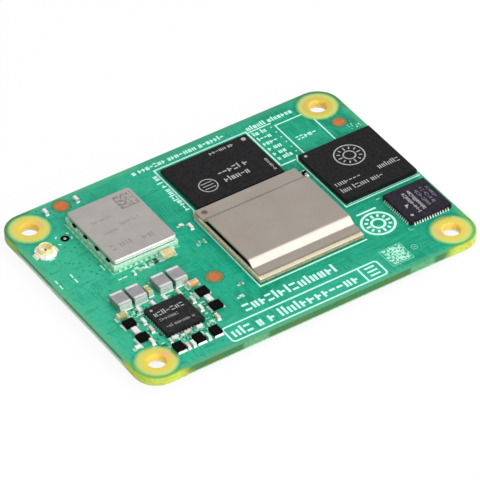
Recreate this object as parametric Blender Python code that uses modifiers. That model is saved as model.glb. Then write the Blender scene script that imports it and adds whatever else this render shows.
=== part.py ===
"""System on module: a small circuit board that carries a lidded processor, memory, an input and
output controller, a network chip, a wireless module and a power stage, and that plugs onto a base
board through two mezzanine connectors on its underside.

Run it with: blender --background --python part.py
Lengths are in metres and +Z is up. The origin lies under the middle of the board, on the plane that
the mating faces of the two connectors lie in. X runs along the board's long edge, and -Y is its front.
"""

import math
from collections import namedtuple

import bmesh
import bpy
from mathutils import Matrix, Vector

MM = 0.001

# Circuit board
BOARD_LENGTH = 55.0 * MM
BOARD_WIDTH = 40.0 * MM
BOARD_THICKNESS = 1.24 * MM
BOARD_CORNER_RADIUS = 3.5 * MM
CORNER_SEGMENTS = 8

# Screw holes, one near each corner, with their plating
HOLE_TO_EDGE = 3.5 * MM
HOLE_SPACING_X = BOARD_LENGTH - 2 * HOLE_TO_EDGE
HOLE_SPACING_Y = BOARD_WIDTH - 2 * HOLE_TO_EDGE
SCREW_HOLE_DIAMETER = 2.7 * MM
SCREW_PAD_DIAMETER = 5.84 * MM
BARREL_WALL = 0.12 * MM
PAD_THICKNESS = 0.05 * MM
BARREL_CLEARANCE = 0.02 * MM
ROUND_SEGMENTS = 24

# Mezzanine connectors under the board, along its long edges
HEADER_HEIGHT = 1.4 * MM
HEADER_LENGTH = 22.4 * MM
HEADER_ROW_SPACING = HOLE_SPACING_Y
HEADER_BASE_WIDTH = 3.3 * MM
HEADER_BASE_THICKNESS = 0.35 * MM
HEADER_RING_WIDTH = 2.5 * MM
HEADER_WALL = 0.6 * MM
HEADER_END_WALL = 0.8 * MM
HEADER_CORNER_RADIUS = 0.3 * MM
CONTACT_PITCH = 0.4 * MM
CONTACT_WIDTH = 0.2 * MM
CONTACT_END_MARGIN = 1.2 * MM
CONTACTS_PER_ROW = round((HEADER_LENGTH - 2 * CONTACT_END_MARGIN) / CONTACT_PITCH)
CONTACT_STAND_OUT = 0.06 * MM
CONTACT_SETBACK = 0.12 * MM
CONTACT_TAIL_LENGTH = 0.3 * MM
CONTACT_TAIL_THICKNESS = 0.12 * MM

# Processor: package substrate, die, thermal pad and bridge-shaped lid
PROCESSOR_X = 4.5 * MM
PROCESSOR_Y = -2.8 * MM
SUBSTRATE_SIDE = 17.0 * MM
SUBSTRATE_THICKNESS = 0.6 * MM
DIE_LENGTH = 9.0 * MM
DIE_WIDTH = 8.2 * MM
DIE_THICKNESS = 0.72 * MM
ADHESIVE_THICKNESS = 0.1 * MM
ADHESIVE_INSET = 0.2 * MM
LID_SIDE_MARGIN = 0.175 * MM
LID_LENGTH = SUBSTRATE_SIDE - 2 * LID_SIDE_MARGIN
LID_SHEET = 0.3 * MM
LID_PLATEAU = 10.05 * MM
LID_SLOPE_RUN = 1.2 * MM
LID_RISE = 0.8 * MM
LID_FRONT_FLANGE = 1.6 * MM
LID_BACK_FLANGE = 2.25 * MM
LID_FRONT_MARGIN = 0.6 * MM
LID_BEND_RADIUS = 0.25 * MM
LID_BEND_SEGMENTS = 4
LID_MARK_DIAMETER = 0.6 * MM
LID_MARK_DEPTH = 0.1 * MM
LID_MARK_INSET = 1.0 * MM

# Chips that stand on solder balls
BALL_PITCH = 0.8 * MM
BALL_DIAMETER = 0.4 * MM
BALL_SIDES = 6
BALL_EDGE = 0.75 * MM
BALL_BITE = 0.05 * MM
PROCESSOR_BALL_HEIGHT = 0.25 * MM
CHIP_BALL_HEIGHT = 0.2 * MM
CHIP_EDGE_BEVEL = 0.05 * MM
MEMORY_LENGTH = 14.3 * MM
MEMORY_WIDTH = 10.0 * MM
MEMORY_BODY = 0.55 * MM
MEMORY_GAP = 0.65 * MM
MEMORY_X = PROCESSOR_X
MEMORY_Y = PROCESSOR_Y + (SUBSTRATE_SIDE + MEMORY_WIDTH) / 2 + MEMORY_GAP
IO_SIDE = 12.0 * MM
IO_BODY = 0.7 * MM
IO_GAP = 2.0 * MM
IO_X = PROCESSOR_X + (SUBSTRATE_SIDE + IO_SIDE) / 2 + IO_GAP

# Chips with flat leads round their edge
LEAD_WIDTH = 0.24 * MM
LEAD_HEIGHT = 0.2 * MM
LEAD_STAND_OUT = 0.07 * MM
LEAD_LENGTH = 0.4 * MM
NETWORK_SIDE = 7.0 * MM
NETWORK_TO_EDGE = 4.2 * MM
NETWORK_TO_HOLE = 7.2 * MM
NETWORK_TO_IO = 1.8 * MM
NETWORK_X = BOARD_LENGTH / 2 - NETWORK_TO_EDGE
NETWORK_Y = -HOLE_SPACING_Y / 2 + NETWORK_TO_HOLE
IO_Y = NETWORK_Y + (NETWORK_SIDE + IO_SIDE) / 2 + NETWORK_TO_IO
NETWORK_HEIGHT = 0.85 * MM
NETWORK_LEADS = 12
NETWORK_LEAD_PITCH = 0.5 * MM
POWER_SIDE = 6.0 * MM
POWER_TO_LEFT = 10.15 * MM
POWER_TO_FRONT = 9.55 * MM
POWER_X = -BOARD_LENGTH / 2 + POWER_TO_LEFT
POWER_Y = -BOARD_WIDTH / 2 + POWER_TO_FRONT
POWER_HEIGHT = 0.8 * MM
POWER_LEADS = 10
POWER_LEAD_PITCH = 0.5 * MM

# Wireless module: a small board of its own with a chip under a folded can
WIRELESS_TO_LEFT = 13.47 * MM
WIRELESS_X = -BOARD_LENGTH / 2 + WIRELESS_TO_LEFT
WIRELESS_Y = 8.28 * MM
CARRIER_LENGTH = 10.35 * MM
CARRIER_WIDTH = 12.75 * MM
CARRIER_THICKNESS = 1.1 * MM
CASTELLATION_COUNT = 10
CASTELLATION_PITCH = 1.2 * MM
CASTELLATION_RADIUS = 0.22 * MM
CASTELLATION_SIDES = 8
CAN_INSET = 0.1 * MM
CAN_HEIGHT = 0.9 * MM
CAN_SHEET = 0.15 * MM
CAN_CORNER_RADIUS = 0.5 * MM
CAN_TOP_RADIUS = 0.12 * MM
CAN_NOTCHES = 4
CAN_NOTCH_PITCH = 2.95 * MM
CAN_NOTCH_WIDTH = 0.7 * MM
CAN_NOTCH_HEIGHT = 0.25 * MM
WIRELESS_CHIP_LENGTH = 5.2 * MM
WIRELESS_CHIP_WIDTH = 4.4 * MM
WIRELESS_CHIP_HEIGHT = 0.45 * MM

# Snap-on antenna connector
ANTENNA_TO_LEFT = 2.75 * MM
ANTENNA_TO_HOLE = 5.65 * MM
ANTENNA_X = -BOARD_LENGTH / 2 + ANTENNA_TO_LEFT
ANTENNA_Y = HOLE_SPACING_Y / 2 - ANTENNA_TO_HOLE
ANTENNA_BASE_LENGTH = 2.6 * MM
ANTENNA_BASE_WIDTH = 2.9 * MM
ANTENNA_BASE_HEIGHT = 0.35 * MM
ANTENNA_FLOOR = 0.15 * MM
ANTENNA_SHELL_DIAMETER = 2.0 * MM
ANTENNA_SHELL_WALL = 0.15 * MM
ANTENNA_SHELL_TOP = 1.2 * MM
ANTENNA_SNAP_DEPTH = 0.06 * MM
ANTENNA_TAB_WIDTH = 1.0 * MM
ANTENNA_TAB_THICKNESS = 0.12 * MM
ANTENNA_TAB_REACH = 0.35 * MM
ANTENNA_PIN_DIAMETER = 0.34 * MM
ANTENNA_PIN_TOP = 0.95 * MM
SLIDING_CLEARANCE = 0.02 * MM

# Power stage: inductors behind the controller, chokes and capacitors round it
INDUCTOR_LENGTH = 2.8 * MM
INDUCTOR_WIDTH = 2.1 * MM
INDUCTOR_HEIGHT = 1.15 * MM
INDUCTOR_TERMINAL = 0.55 * MM
INDUCTOR_PAIR_GAP = 0.38 * MM
INDUCTOR_MIDDLE_GAP = 1.95 * MM
INDUCTOR_ROW_GAP = 0.75 * MM
CHOKE_LENGTH = 1.7 * MM
CHOKE_WIDTH = 1.38 * MM
CHOKE_HEIGHT = 0.62 * MM
CHOKE_TERMINAL = 0.3 * MM
TERMINAL_WRAP = 0.03 * MM
CHOKE_COLUMN_GAP = 1.92 * MM
CHOKE_COLUMN_SPACING = 3.4 * MM
CHOKE_COLUMN_SHIFT = 0.45 * MM
CHOKE_ROW_GAP = 1.68 * MM
PASSIVE_GAP = 0.3 * MM
LEFT_END_GAP = 0.7 * MM
RIGHT_END_GAP = 0.95 * MM
EDGE_CAPACITOR_SHARE = 0.33
MIDDLE_CAPACITOR_SHIFT = 0.2 * MM
SIDE_CAPACITOR_SHARE = 0.737
SIDE_CAPACITOR_SHIFT = 3.3 * MM

ChipSize = namedtuple("ChipSize", "length width height terminal")
SMALL = ChipSize(1.0 * MM, 0.5 * MM, 0.5 * MM, 0.25 * MM)
MEDIUM = ChipSize(1.6 * MM, 0.8 * MM, 0.8 * MM, 0.35 * MM)
LARGE = ChipSize(2.0 * MM, 1.25 * MM, 0.8 * MM, 0.4 * MM)
SHORT = ChipSize(1.4 * MM, 0.85 * MM, 0.5 * MM, 0.4 * MM)
ALONG_X = 0.0
ALONG_Y = math.pi / 2

# Heights of the seats that the pieces stand on
BOARD_BOTTOM = HEADER_HEIGHT
BOARD_TOP = BOARD_BOTTOM + BOARD_THICKNESS
SUBSTRATE_TOP = BOARD_TOP + PROCESSOR_BALL_HEIGHT + SUBSTRATE_THICKNESS
LID_SEAT = SUBSTRATE_TOP + ADHESIVE_THICKNESS
CARRIER_TOP = BOARD_TOP + CARRIER_THICKNESS


# Scene helpers


def clear_scene():
    for obj in list(bpy.data.objects):
        bpy.data.objects.remove(obj, do_unlink=True)
    for collection in list(bpy.data.collections):
        bpy.data.collections.remove(collection)


def linear(channel):
    """One 0 to 255 colour channel as the linear value that a material takes."""
    share = channel / 255
    return share / 12.92 if share <= 0.04045 else ((share + 0.055) / 1.055) ** 2.4


def new_material(name, colour, roughness, metallic=0.0):
    material = bpy.data.materials.new(name)
    material.use_nodes = True
    shader = material.node_tree.nodes["Principled BSDF"]
    rgba = (*(linear(channel) for channel in colour), 1.0)
    shader.inputs["Base Color"].default_value = rgba
    shader.inputs["Roughness"].default_value = roughness
    shader.inputs["Metallic"].default_value = metallic
    material.diffuse_color = rgba
    return material


class Builder:
    """Holds the two collections, the frame that the pieces hang from, and the materials."""

    def __init__(self):
        scene = bpy.context.scene
        self.pieces = bpy.data.collections.new("system_on_module")
        self.cutters = bpy.data.collections.new("cutters")
        scene.collection.children.link(self.pieces)
        scene.collection.children.link(self.cutters)
        self.cutters.hide_render = True
        self.frame = bpy.data.objects.new("module_frame", None)
        self.pieces.objects.link(self.frame)
        self.materials = {
            "solder_mask": new_material("solder_mask", (38, 178, 138), 0.35),
            "gold": new_material("gold", (235, 200, 90), 0.3, 1.0),
            "substrate": new_material("substrate", (205, 190, 150), 0.5),
            "silicon": new_material("silicon", (70, 72, 80), 0.25, 0.6),
            "thermal_pad": new_material("thermal_pad", (190, 195, 200), 0.7),
            "adhesive": new_material("adhesive", (60, 58, 55), 0.6),
            "nickel": new_material("nickel", (163, 154, 146), 0.35, 1.0),
            "mould": new_material("mould", (43, 42, 45), 0.5),
            "can": new_material("can", (178, 174, 170), 0.4, 1.0),
            "carrier": new_material("carrier", (120, 165, 120), 0.5),
            "white_plastic": new_material("white_plastic", (240, 238, 232), 0.4),
            "inductor": new_material("inductor", (150, 148, 152), 0.45, 0.3),
            "ferrite": new_material("ferrite", (24, 22, 22), 0.5),
            "ceramic": new_material("ceramic", (205, 180, 135), 0.45),
            "header_plastic": new_material("header_plastic", (36, 34, 34), 0.55),
        }

    def cutter(self, name, mesh, owner):
        """A helper object that a Boolean of its owner takes, moving with it and never rendered."""
        obj = bpy.data.objects.new(name, mesh)
        self.cutters.objects.link(obj)
        obj.parent = owner
        obj.hide_render = True
        obj.display_type = "WIRE"
        return obj

    def piece(self, name, mesh, material, x=0.0, y=0.0, z=0.0, turn=0.0, flipped=False):
        """A named piece of the module, with its origin on its seat."""
        obj = bpy.data.objects.new(name, mesh)
        self.pieces.objects.link(obj)
        obj.parent = self.frame
        obj.location = (x, y, z)
        obj.rotation_euler = (math.pi if flipped else 0.0, 0.0, turn)
        obj.data.materials.append(self.materials[material])
        return obj

    def boolean(self, obj, operation, name, mesh, overlapping=False):
        """Joins or cuts with this mesh. Overlapping is for one whose own boxes run into each other."""
        modifier = obj.modifiers.new(name, "BOOLEAN")
        modifier.operation = operation
        modifier.solver = "EXACT"
        modifier.use_self = overlapping
        modifier.object = self.cutter(f"{obj.name}_{name}", mesh, obj)
        return modifier


# Mesh helpers


def finished(bm, name):
    """The mesh of a bmesh, with its faces turned outwards."""
    bmesh.ops.recalc_face_normals(bm, faces=bm.faces)
    mesh = bpy.data.meshes.new(name)
    bm.to_mesh(mesh)
    bm.free()
    return mesh


def add_box(bm, x, y, z):
    """Adds a box that spans the three (low, high) pairs, and returns its faces."""
    size = [high - low for low, high in (x, y, z)]
    middle = [(high + low) / 2 for low, high in (x, y, z)]
    place = Matrix.Translation(middle) @ Matrix.Diagonal((*size, 1.0))
    made = bmesh.ops.create_cube(bm, size=1.0, matrix=place)
    return {face for vertex in made["verts"] for face in vertex.link_faces}


def add_cylinder(bm, x, y, z, radius, segments, turn=0.0):
    """Adds a cylinder along Z that spans the (low, high) pair z."""
    low, high = z
    place = Matrix.Translation((x, y, (low + high) / 2)) @ Matrix.Rotation(turn, 4, "Z")
    bmesh.ops.create_cone(
        bm,
        cap_ends=True,
        segments=segments,
        radius1=radius,
        radius2=radius,
        depth=high - low,
        matrix=place,
    )


def centred(size):
    return (-size / 2, size / 2)


def upright_edges(faces):
    """The vertical edges of these faces."""
    edges = {edge for face in faces for edge in face.edges}
    return [e for e in edges if abs(e.verts[0].co.z - e.verts[1].co.z) > 0.5 * e.calc_length()]


def top_edges(bm, z):
    return [e for e in bm.edges if all(abs(v.co.z - z) < 0.001 * MM for v in e.verts)]


def bevel(bm, edges, radius, segments):
    bmesh.ops.bevel(
        bm,
        geom=edges,
        offset=radius,
        offset_type="OFFSET",
        segments=segments,
        profile=0.5,
        affect="EDGES",
    )


def rounded_block(name, x, y, z, corner_radius, segments, top_radius=0.0):
    """A block with rounded upright edges and, if asked, a rounded top rim."""
    bm = bmesh.new()
    faces = add_box(bm, x, y, z)
    bevel(bm, upright_edges(faces), corner_radius, segments)
    if top_radius:
        bevel(bm, top_edges(bm, z[1]), top_radius, 2)
    return finished(bm, name)


def revolved(name, profile, segments):
    """A closed profile of (radius, height) points, turned once about Z."""
    bm = bmesh.new()
    points = [bm.verts.new((radius, 0.0, height)) for radius, height in profile]
    edges = [bm.edges.new(pair) for pair in zip(points, points[1:] + points[:1])]
    bmesh.ops.spin(
        bm,
        geom=points + edges,
        cent=(0.0, 0.0, 0.0),
        axis=(0.0, 0.0, 1.0),
        angle=math.tau,
        steps=segments,
        use_merge=True,
    )
    bmesh.ops.remove_doubles(bm, verts=bm.verts, dist=0.0001 * MM)
    return finished(bm, name)


def along(count, pitch):
    """Places of a centred row of this many things."""
    return [(index - (count - 1) / 2) * pitch for index in range(count)]


# Board and plating


def screw_hole_places():
    """(name, x, y) of the four screw holes."""
    for row, y in (("front", -HOLE_SPACING_Y / 2), ("back", HOLE_SPACING_Y / 2)):
        for side, x in (("left", -HOLE_SPACING_X / 2), ("right", HOLE_SPACING_X / 2)):
            yield f"{row}_{side}", x, y


def add_circuit_board(build):
    mesh = rounded_block(
        "circuit_board",
        centred(BOARD_LENGTH),
        centred(BOARD_WIDTH),
        (0.0, BOARD_THICKNESS),
        BOARD_CORNER_RADIUS,
        CORNER_SEGMENTS,
    )
    board = build.piece("circuit_board", mesh, "solder_mask", z=BOARD_BOTTOM)
    drill_radius = SCREW_HOLE_DIAMETER / 2 + BARREL_WALL + BARREL_CLEARANCE
    holes = bmesh.new()
    for _, x, y in screw_hole_places():
        add_cylinder(
            holes, x, y, (-BOARD_THICKNESS, 2 * BOARD_THICKNESS), drill_radius, ROUND_SEGMENTS
        )
    build.boolean(board, "DIFFERENCE", "screw_holes", finished(holes, "screw_holes"))


def add_screw_pads(build):
    """Each screw hole's plating: a ring on both faces of the board, joined by the barrel."""
    bore = SCREW_HOLE_DIAMETER / 2
    barrel = bore + BARREL_WALL
    rim = SCREW_PAD_DIAMETER / 2
    top = BOARD_THICKNESS
    profile = [
        (bore, -PAD_THICKNESS),
        (rim, -PAD_THICKNESS),
        (rim, 0.0),
        (barrel, 0.0),
        (barrel, top),
        (rim, top),
        (rim, top + PAD_THICKNESS),
        (bore, top + PAD_THICKNESS),
    ]
    for name, x, y in screw_hole_places():
        mesh = revolved(f"screw_pad_{name}", profile, ROUND_SEGMENTS)
        build.piece(f"screw_pad_{name}", mesh, "gold", x, y, BOARD_BOTTOM)


# Connectors under the board


def header_contacts():
    """Both rows of contacts of one header: a rib over the ring's wall and a solder tail by its base."""
    bm = bmesh.new()
    outer = HEADER_RING_WIDTH / 2 + CONTACT_STAND_OUT
    inner = HEADER_RING_WIDTH / 2 - HEADER_WALL - CONTACT_STAND_OUT
    tail_end = HEADER_BASE_WIDTH / 2 + CONTACT_TAIL_LENGTH
    tail_start = HEADER_BASE_WIDTH / 2 - CONTACT_TAIL_LENGTH
    rib_top = HEADER_HEIGHT - CONTACT_SETBACK
    rib_bottom = HEADER_BASE_THICKNESS / 2
    for place in along(CONTACTS_PER_ROW, CONTACT_PITCH):
        x = (place - CONTACT_WIDTH / 2, place + CONTACT_WIDTH / 2)
        for low, high in ((inner, outer), (-outer, -inner)):
            add_box(bm, x, (low, high), (rib_bottom, rib_top))
        for low, high in ((tail_start, tail_end), (-tail_end, -tail_start)):
            add_box(bm, x, (low, high), (0.0, CONTACT_TAIL_THICKNESS))
    return finished(bm, "contacts")


def add_headers(build):
    """Each header hangs from the board upside down: a base, and a ring wall round an open trough."""
    trough_end = HEADER_LENGTH / 2 - HEADER_END_WALL
    trough_side = HEADER_RING_WIDTH / 2 - HEADER_WALL
    rows = (("front", -HEADER_ROW_SPACING / 2), ("back", HEADER_ROW_SPACING / 2))
    for row, y in rows:
        base = rounded_block(
            f"header_{row}",
            centred(HEADER_LENGTH),
            centred(HEADER_BASE_WIDTH),
            (0.0, HEADER_BASE_THICKNESS),
            HEADER_CORNER_RADIUS,
            2,
        )
        header = build.piece(
            f"mezzanine_header_{row}", base, "header_plastic", 0.0, y, BOARD_BOTTOM, flipped=True
        )
        ring = rounded_block(
            "ring",
            centred(HEADER_LENGTH),
            centred(HEADER_RING_WIDTH),
            (HEADER_BASE_THICKNESS / 2, HEADER_HEIGHT),
            HEADER_CORNER_RADIUS,
            2,
        )
        trough = rounded_block(
            "trough",
            (-trough_end, trough_end),
            (-trough_side, trough_side),
            (HEADER_BASE_THICKNESS, HEADER_HEIGHT + HEADER_BASE_THICKNESS),
            HEADER_CORNER_RADIUS,
            2,
        )
        build.boolean(header, "UNION", "ring", ring)
        build.boolean(header, "DIFFERENCE", "trough", trough)
        build.boolean(header, "UNION", "contacts", header_contacts())


# Chips on solder balls


def ball_ring(length, width, height):
    """The outermost ring of solder balls under a package, each reaching a little into it."""
    bm = bmesh.new()
    columns = int((length - 2 * BALL_EDGE) / BALL_PITCH) + 1
    rows = int((width - 2 * BALL_EDGE) / BALL_PITCH) + 1
    xs = along(columns, BALL_PITCH)
    ys = along(rows, BALL_PITCH)
    places = [(x, y) for x in xs for y in (ys[0], ys[-1])]
    places += [(x, y) for x in (xs[0], xs[-1]) for y in ys[1:-1]]
    for x, y in places:
        add_cylinder(bm, x, y, (0.0, height + BALL_BITE), BALL_DIAMETER / 2, BALL_SIDES)
    return finished(bm, "balls")


def add_ball_package(build, name, material, x, y, length, width, body, ball_height):
    bm = bmesh.new()
    top = ball_height + body
    add_box(bm, centred(length), centred(width), (ball_height, top))
    bevel(bm, top_edges(bm, top), CHIP_EDGE_BEVEL, 1)
    chip = build.piece(name, finished(bm, name), material, x, y, BOARD_TOP)
    build.boolean(chip, "UNION", "balls", ball_ring(length, width, ball_height))
    return chip


# Processor


def lid_path():
    """(y, z) points along the underside of the folded lid, from its front edge to its back edge.

    Each of the four bends is an arc between the two straight stretches that meet there.
    """
    front = -SUBSTRATE_SIDE / 2 + LID_FRONT_MARGIN
    slope_foot = front + LID_FRONT_FLANGE
    plateau_front = slope_foot + LID_SLOPE_RUN
    plateau_back = plateau_front + LID_PLATEAU
    back_foot = plateau_back + LID_SLOPE_RUN
    corners = [
        Vector((front, 0.0)),
        Vector((slope_foot, 0.0)),
        Vector((plateau_front, LID_RISE)),
        Vector((plateau_back, LID_RISE)),
        Vector((back_foot, 0.0)),
        Vector((back_foot + LID_BACK_FLANGE, 0.0)),
    ]
    path = [corners[0]]
    for before, corner, after in zip(corners, corners[1:], corners[2:]):
        start = corner + (before - corner).normalized() * LID_BEND_RADIUS
        end = corner + (after - corner).normalized() * LID_BEND_RADIUS
        for step in range(LID_BEND_SEGMENTS + 1):
            share = step / LID_BEND_SEGMENTS
            path.append(start.lerp(corner, share).lerp(corner.lerp(end, share), share))
    path.append(corners[-1])
    return path


def folded_sheet(name, path, length, thickness):
    """A strip of sheet that follows the (y, z) path and is this long in X, as a closed solid."""
    bm = bmesh.new()
    points = [bm.verts.new((-length / 2, y, z)) for y, z in path]
    edges = [bm.edges.new(pair) for pair in zip(points, points[1:])]
    swept = bmesh.ops.extrude_edge_only(bm, edges=edges)
    moved = [item for item in swept["geom"] if isinstance(item, bmesh.types.BMVert)]
    bmesh.ops.translate(bm, verts=moved, vec=(length, 0.0, 0.0))
    mesh = bpy.data.meshes.new(name)
    for face in bm.faces:
        if face.normal.z < 0.0:
            face.normal_flip()
    bm.to_mesh(mesh)
    bm.free()
    return mesh


def add_processor(build):
    add_ball_package(
        build,
        "processor_substrate",
        "substrate",
        PROCESSOR_X,
        PROCESSOR_Y,
        SUBSTRATE_SIDE,
        SUBSTRATE_SIDE,
        SUBSTRATE_THICKNESS,
        PROCESSOR_BALL_HEIGHT,
    )
    path = lid_path()
    lid_front, lid_back = path[0].x, path[-1].x
    plateau_middle = lid_front + LID_FRONT_FLANGE + LID_SLOPE_RUN + LID_PLATEAU / 2

    bm = bmesh.new()
    add_box(bm, centred(DIE_LENGTH), centred(DIE_WIDTH), (0.0, DIE_THICKNESS))
    die_y = PROCESSOR_Y + plateau_middle
    build.piece(
        "processor_die", finished(bm, "die"), "silicon", PROCESSOR_X, die_y, SUBSTRATE_TOP
    )

    die_top = SUBSTRATE_TOP + DIE_THICKNESS
    plateau_underside = LID_SEAT + LID_RISE
    bm = bmesh.new()
    add_box(bm, centred(DIE_LENGTH), centred(DIE_WIDTH), (0.0, plateau_underside - die_top))
    build.piece(
        "thermal_pad", finished(bm, "thermal_pad"), "thermal_pad", PROCESSOR_X, die_y, die_top
    )

    strips = (
        ("front", lid_front, lid_front + LID_FRONT_FLANGE - LID_BEND_RADIUS),
        ("back", lid_back - LID_BACK_FLANGE + LID_BEND_RADIUS, lid_back),
    )
    for row, low, high in strips:
        bm = bmesh.new()
        add_box(
            bm,
            centred(LID_LENGTH - 2 * ADHESIVE_INSET),
            (low + ADHESIVE_INSET, high - ADHESIVE_INSET),
            (0.0, ADHESIVE_THICKNESS),
        )
        mesh = finished(bm, "adhesive")
        name = f"lid_adhesive_{row}"
        build.piece(name, mesh, "adhesive", PROCESSOR_X, PROCESSOR_Y, SUBSTRATE_TOP)

    sheet = folded_sheet("processor_lid", path, LID_LENGTH, LID_SHEET)
    lid = build.piece("processor_lid", sheet, "nickel", PROCESSOR_X, PROCESSOR_Y, LID_SEAT)
    solidify = lid.modifiers.new("sheet", "SOLIDIFY")
    solidify.thickness = LID_SHEET
    solidify.offset = 1.0
    solidify.use_even_offset = True
    mark = bmesh.new()
    add_cylinder(
        mark,
        -LID_LENGTH / 2 + LID_MARK_INSET,
        lid_back - LID_MARK_INSET,
        (LID_SHEET - LID_MARK_DEPTH, 2 * LID_SHEET),
        LID_MARK_DIAMETER / 2,
        ROUND_SEGMENTS // 2,
    )
    build.boolean(lid, "DIFFERENCE", "mark", finished(mark, "mark"))


# Chips with leads


def edge_leads(side, count, pitch):
    """The leads of a flat package: one row on each of its four sides."""
    bm = bmesh.new()
    low = side / 2 - LEAD_LENGTH
    high = side / 2 + LEAD_STAND_OUT
    for place in along(count, pitch):
        across = (place - LEAD_WIDTH / 2, place + LEAD_WIDTH / 2)
        for out in ((low, high), (-high, -low)):
            add_box(bm, across, out, (0.0, LEAD_HEIGHT))
            add_box(bm, out, across, (0.0, LEAD_HEIGHT))
    return finished(bm, "leads")


def add_leaded_package(build, name, x, y, side, height, count, pitch):
    bm = bmesh.new()
    add_box(bm, centred(side), centred(side), (0.0, height))
    bevel(bm, top_edges(bm, height), CHIP_EDGE_BEVEL, 1)
    chip = build.piece(name, finished(bm, name), "mould", x, y, BOARD_TOP)
    build.boolean(chip, "UNION", "leads", edge_leads(side, count, pitch))


# Wireless module


def add_wireless_module(build):
    bm = bmesh.new()
    add_box(bm, centred(CARRIER_LENGTH), centred(CARRIER_WIDTH), (0.0, CARRIER_THICKNESS))
    carrier = build.piece(
        "wireless_carrier", finished(bm, "carrier"), "carrier", WIRELESS_X, WIRELESS_Y, BOARD_TOP
    )
    notches = bmesh.new()
    eighth = math.pi / CASTELLATION_SIDES
    for place in along(CASTELLATION_COUNT, CASTELLATION_PITCH):
        for x in centred(CARRIER_LENGTH):
            add_cylinder(
                notches,
                x,
                place,
                (-CARRIER_THICKNESS, 2 * CARRIER_THICKNESS),
                CASTELLATION_RADIUS,
                CASTELLATION_SIDES,
                eighth,
            )
    build.boolean(carrier, "DIFFERENCE", "castellations", finished(notches, "castellations"))

    bm = bmesh.new()
    add_box(
        bm,
        centred(WIRELESS_CHIP_LENGTH),
        centred(WIRELESS_CHIP_WIDTH),
        (0.0, WIRELESS_CHIP_HEIGHT),
    )
    build.piece(
        "wireless_chip", finished(bm, "chip"), "mould", WIRELESS_X, WIRELESS_Y, CARRIER_TOP
    )

    length = CARRIER_LENGTH - 2 * CAN_INSET
    width = CARRIER_WIDTH - 2 * CAN_INSET
    outside = rounded_block(
        "can",
        centred(length),
        centred(width),
        (0.0, CAN_HEIGHT),
        CAN_CORNER_RADIUS,
        4,
        CAN_TOP_RADIUS,
    )
    can = build.piece(
        "wireless_shield_can", outside, "can", WIRELESS_X, WIRELESS_Y, CARRIER_TOP
    )
    inside = rounded_block(
        "inside",
        centred(length - 2 * CAN_SHEET),
        centred(width - 2 * CAN_SHEET),
        (-CAN_HEIGHT, CAN_HEIGHT - CAN_SHEET),
        CAN_CORNER_RADIUS - CAN_SHEET,
        4,
    )
    build.boolean(can, "DIFFERENCE", "inside", inside)
    notches = bmesh.new()
    for place in along(CAN_NOTCHES, CAN_NOTCH_PITCH):
        add_box(
            notches,
            centred(length + 2 * CAN_SHEET),
            (place - CAN_NOTCH_WIDTH / 2, place + CAN_NOTCH_WIDTH / 2),
            (-CAN_NOTCH_HEIGHT, CAN_NOTCH_HEIGHT),
        )
    build.boolean(can, "DIFFERENCE", "notches", finished(notches, "notches"))


# Antenna connector


def antenna_tabs(grow=0.0):
    """The shell's two solder tabs, or, grown by a clearance, the slots that the base leaves them."""
    bm = bmesh.new()
    start = ANTENNA_SHELL_DIAMETER / 2 - ANTENNA_SHELL_WALL / 2
    end = ANTENNA_BASE_LENGTH / 2 + SLIDING_CLEARANCE + ANTENNA_TAB_REACH
    foot = ANTENNA_BASE_LENGTH / 2 + SLIDING_CLEARANCE
    across = centred(ANTENNA_TAB_WIDTH + 2 * grow)
    top = ANTENNA_FLOOR + ANTENNA_TAB_THICKNESS
    for side in (-1.0, 1.0):
        arm = sorted((side * start, side * end))
        add_box(bm, arm, across, (ANTENNA_FLOOR, ANTENNA_BASE_HEIGHT + grow if grow else top))
        if not grow:
            shoe = sorted((side * foot, side * end))
            add_box(bm, shoe, across, (0.0, ANTENNA_FLOOR + ANTENNA_TAB_THICKNESS / 2))
    return finished(bm, "tabs")


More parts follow.
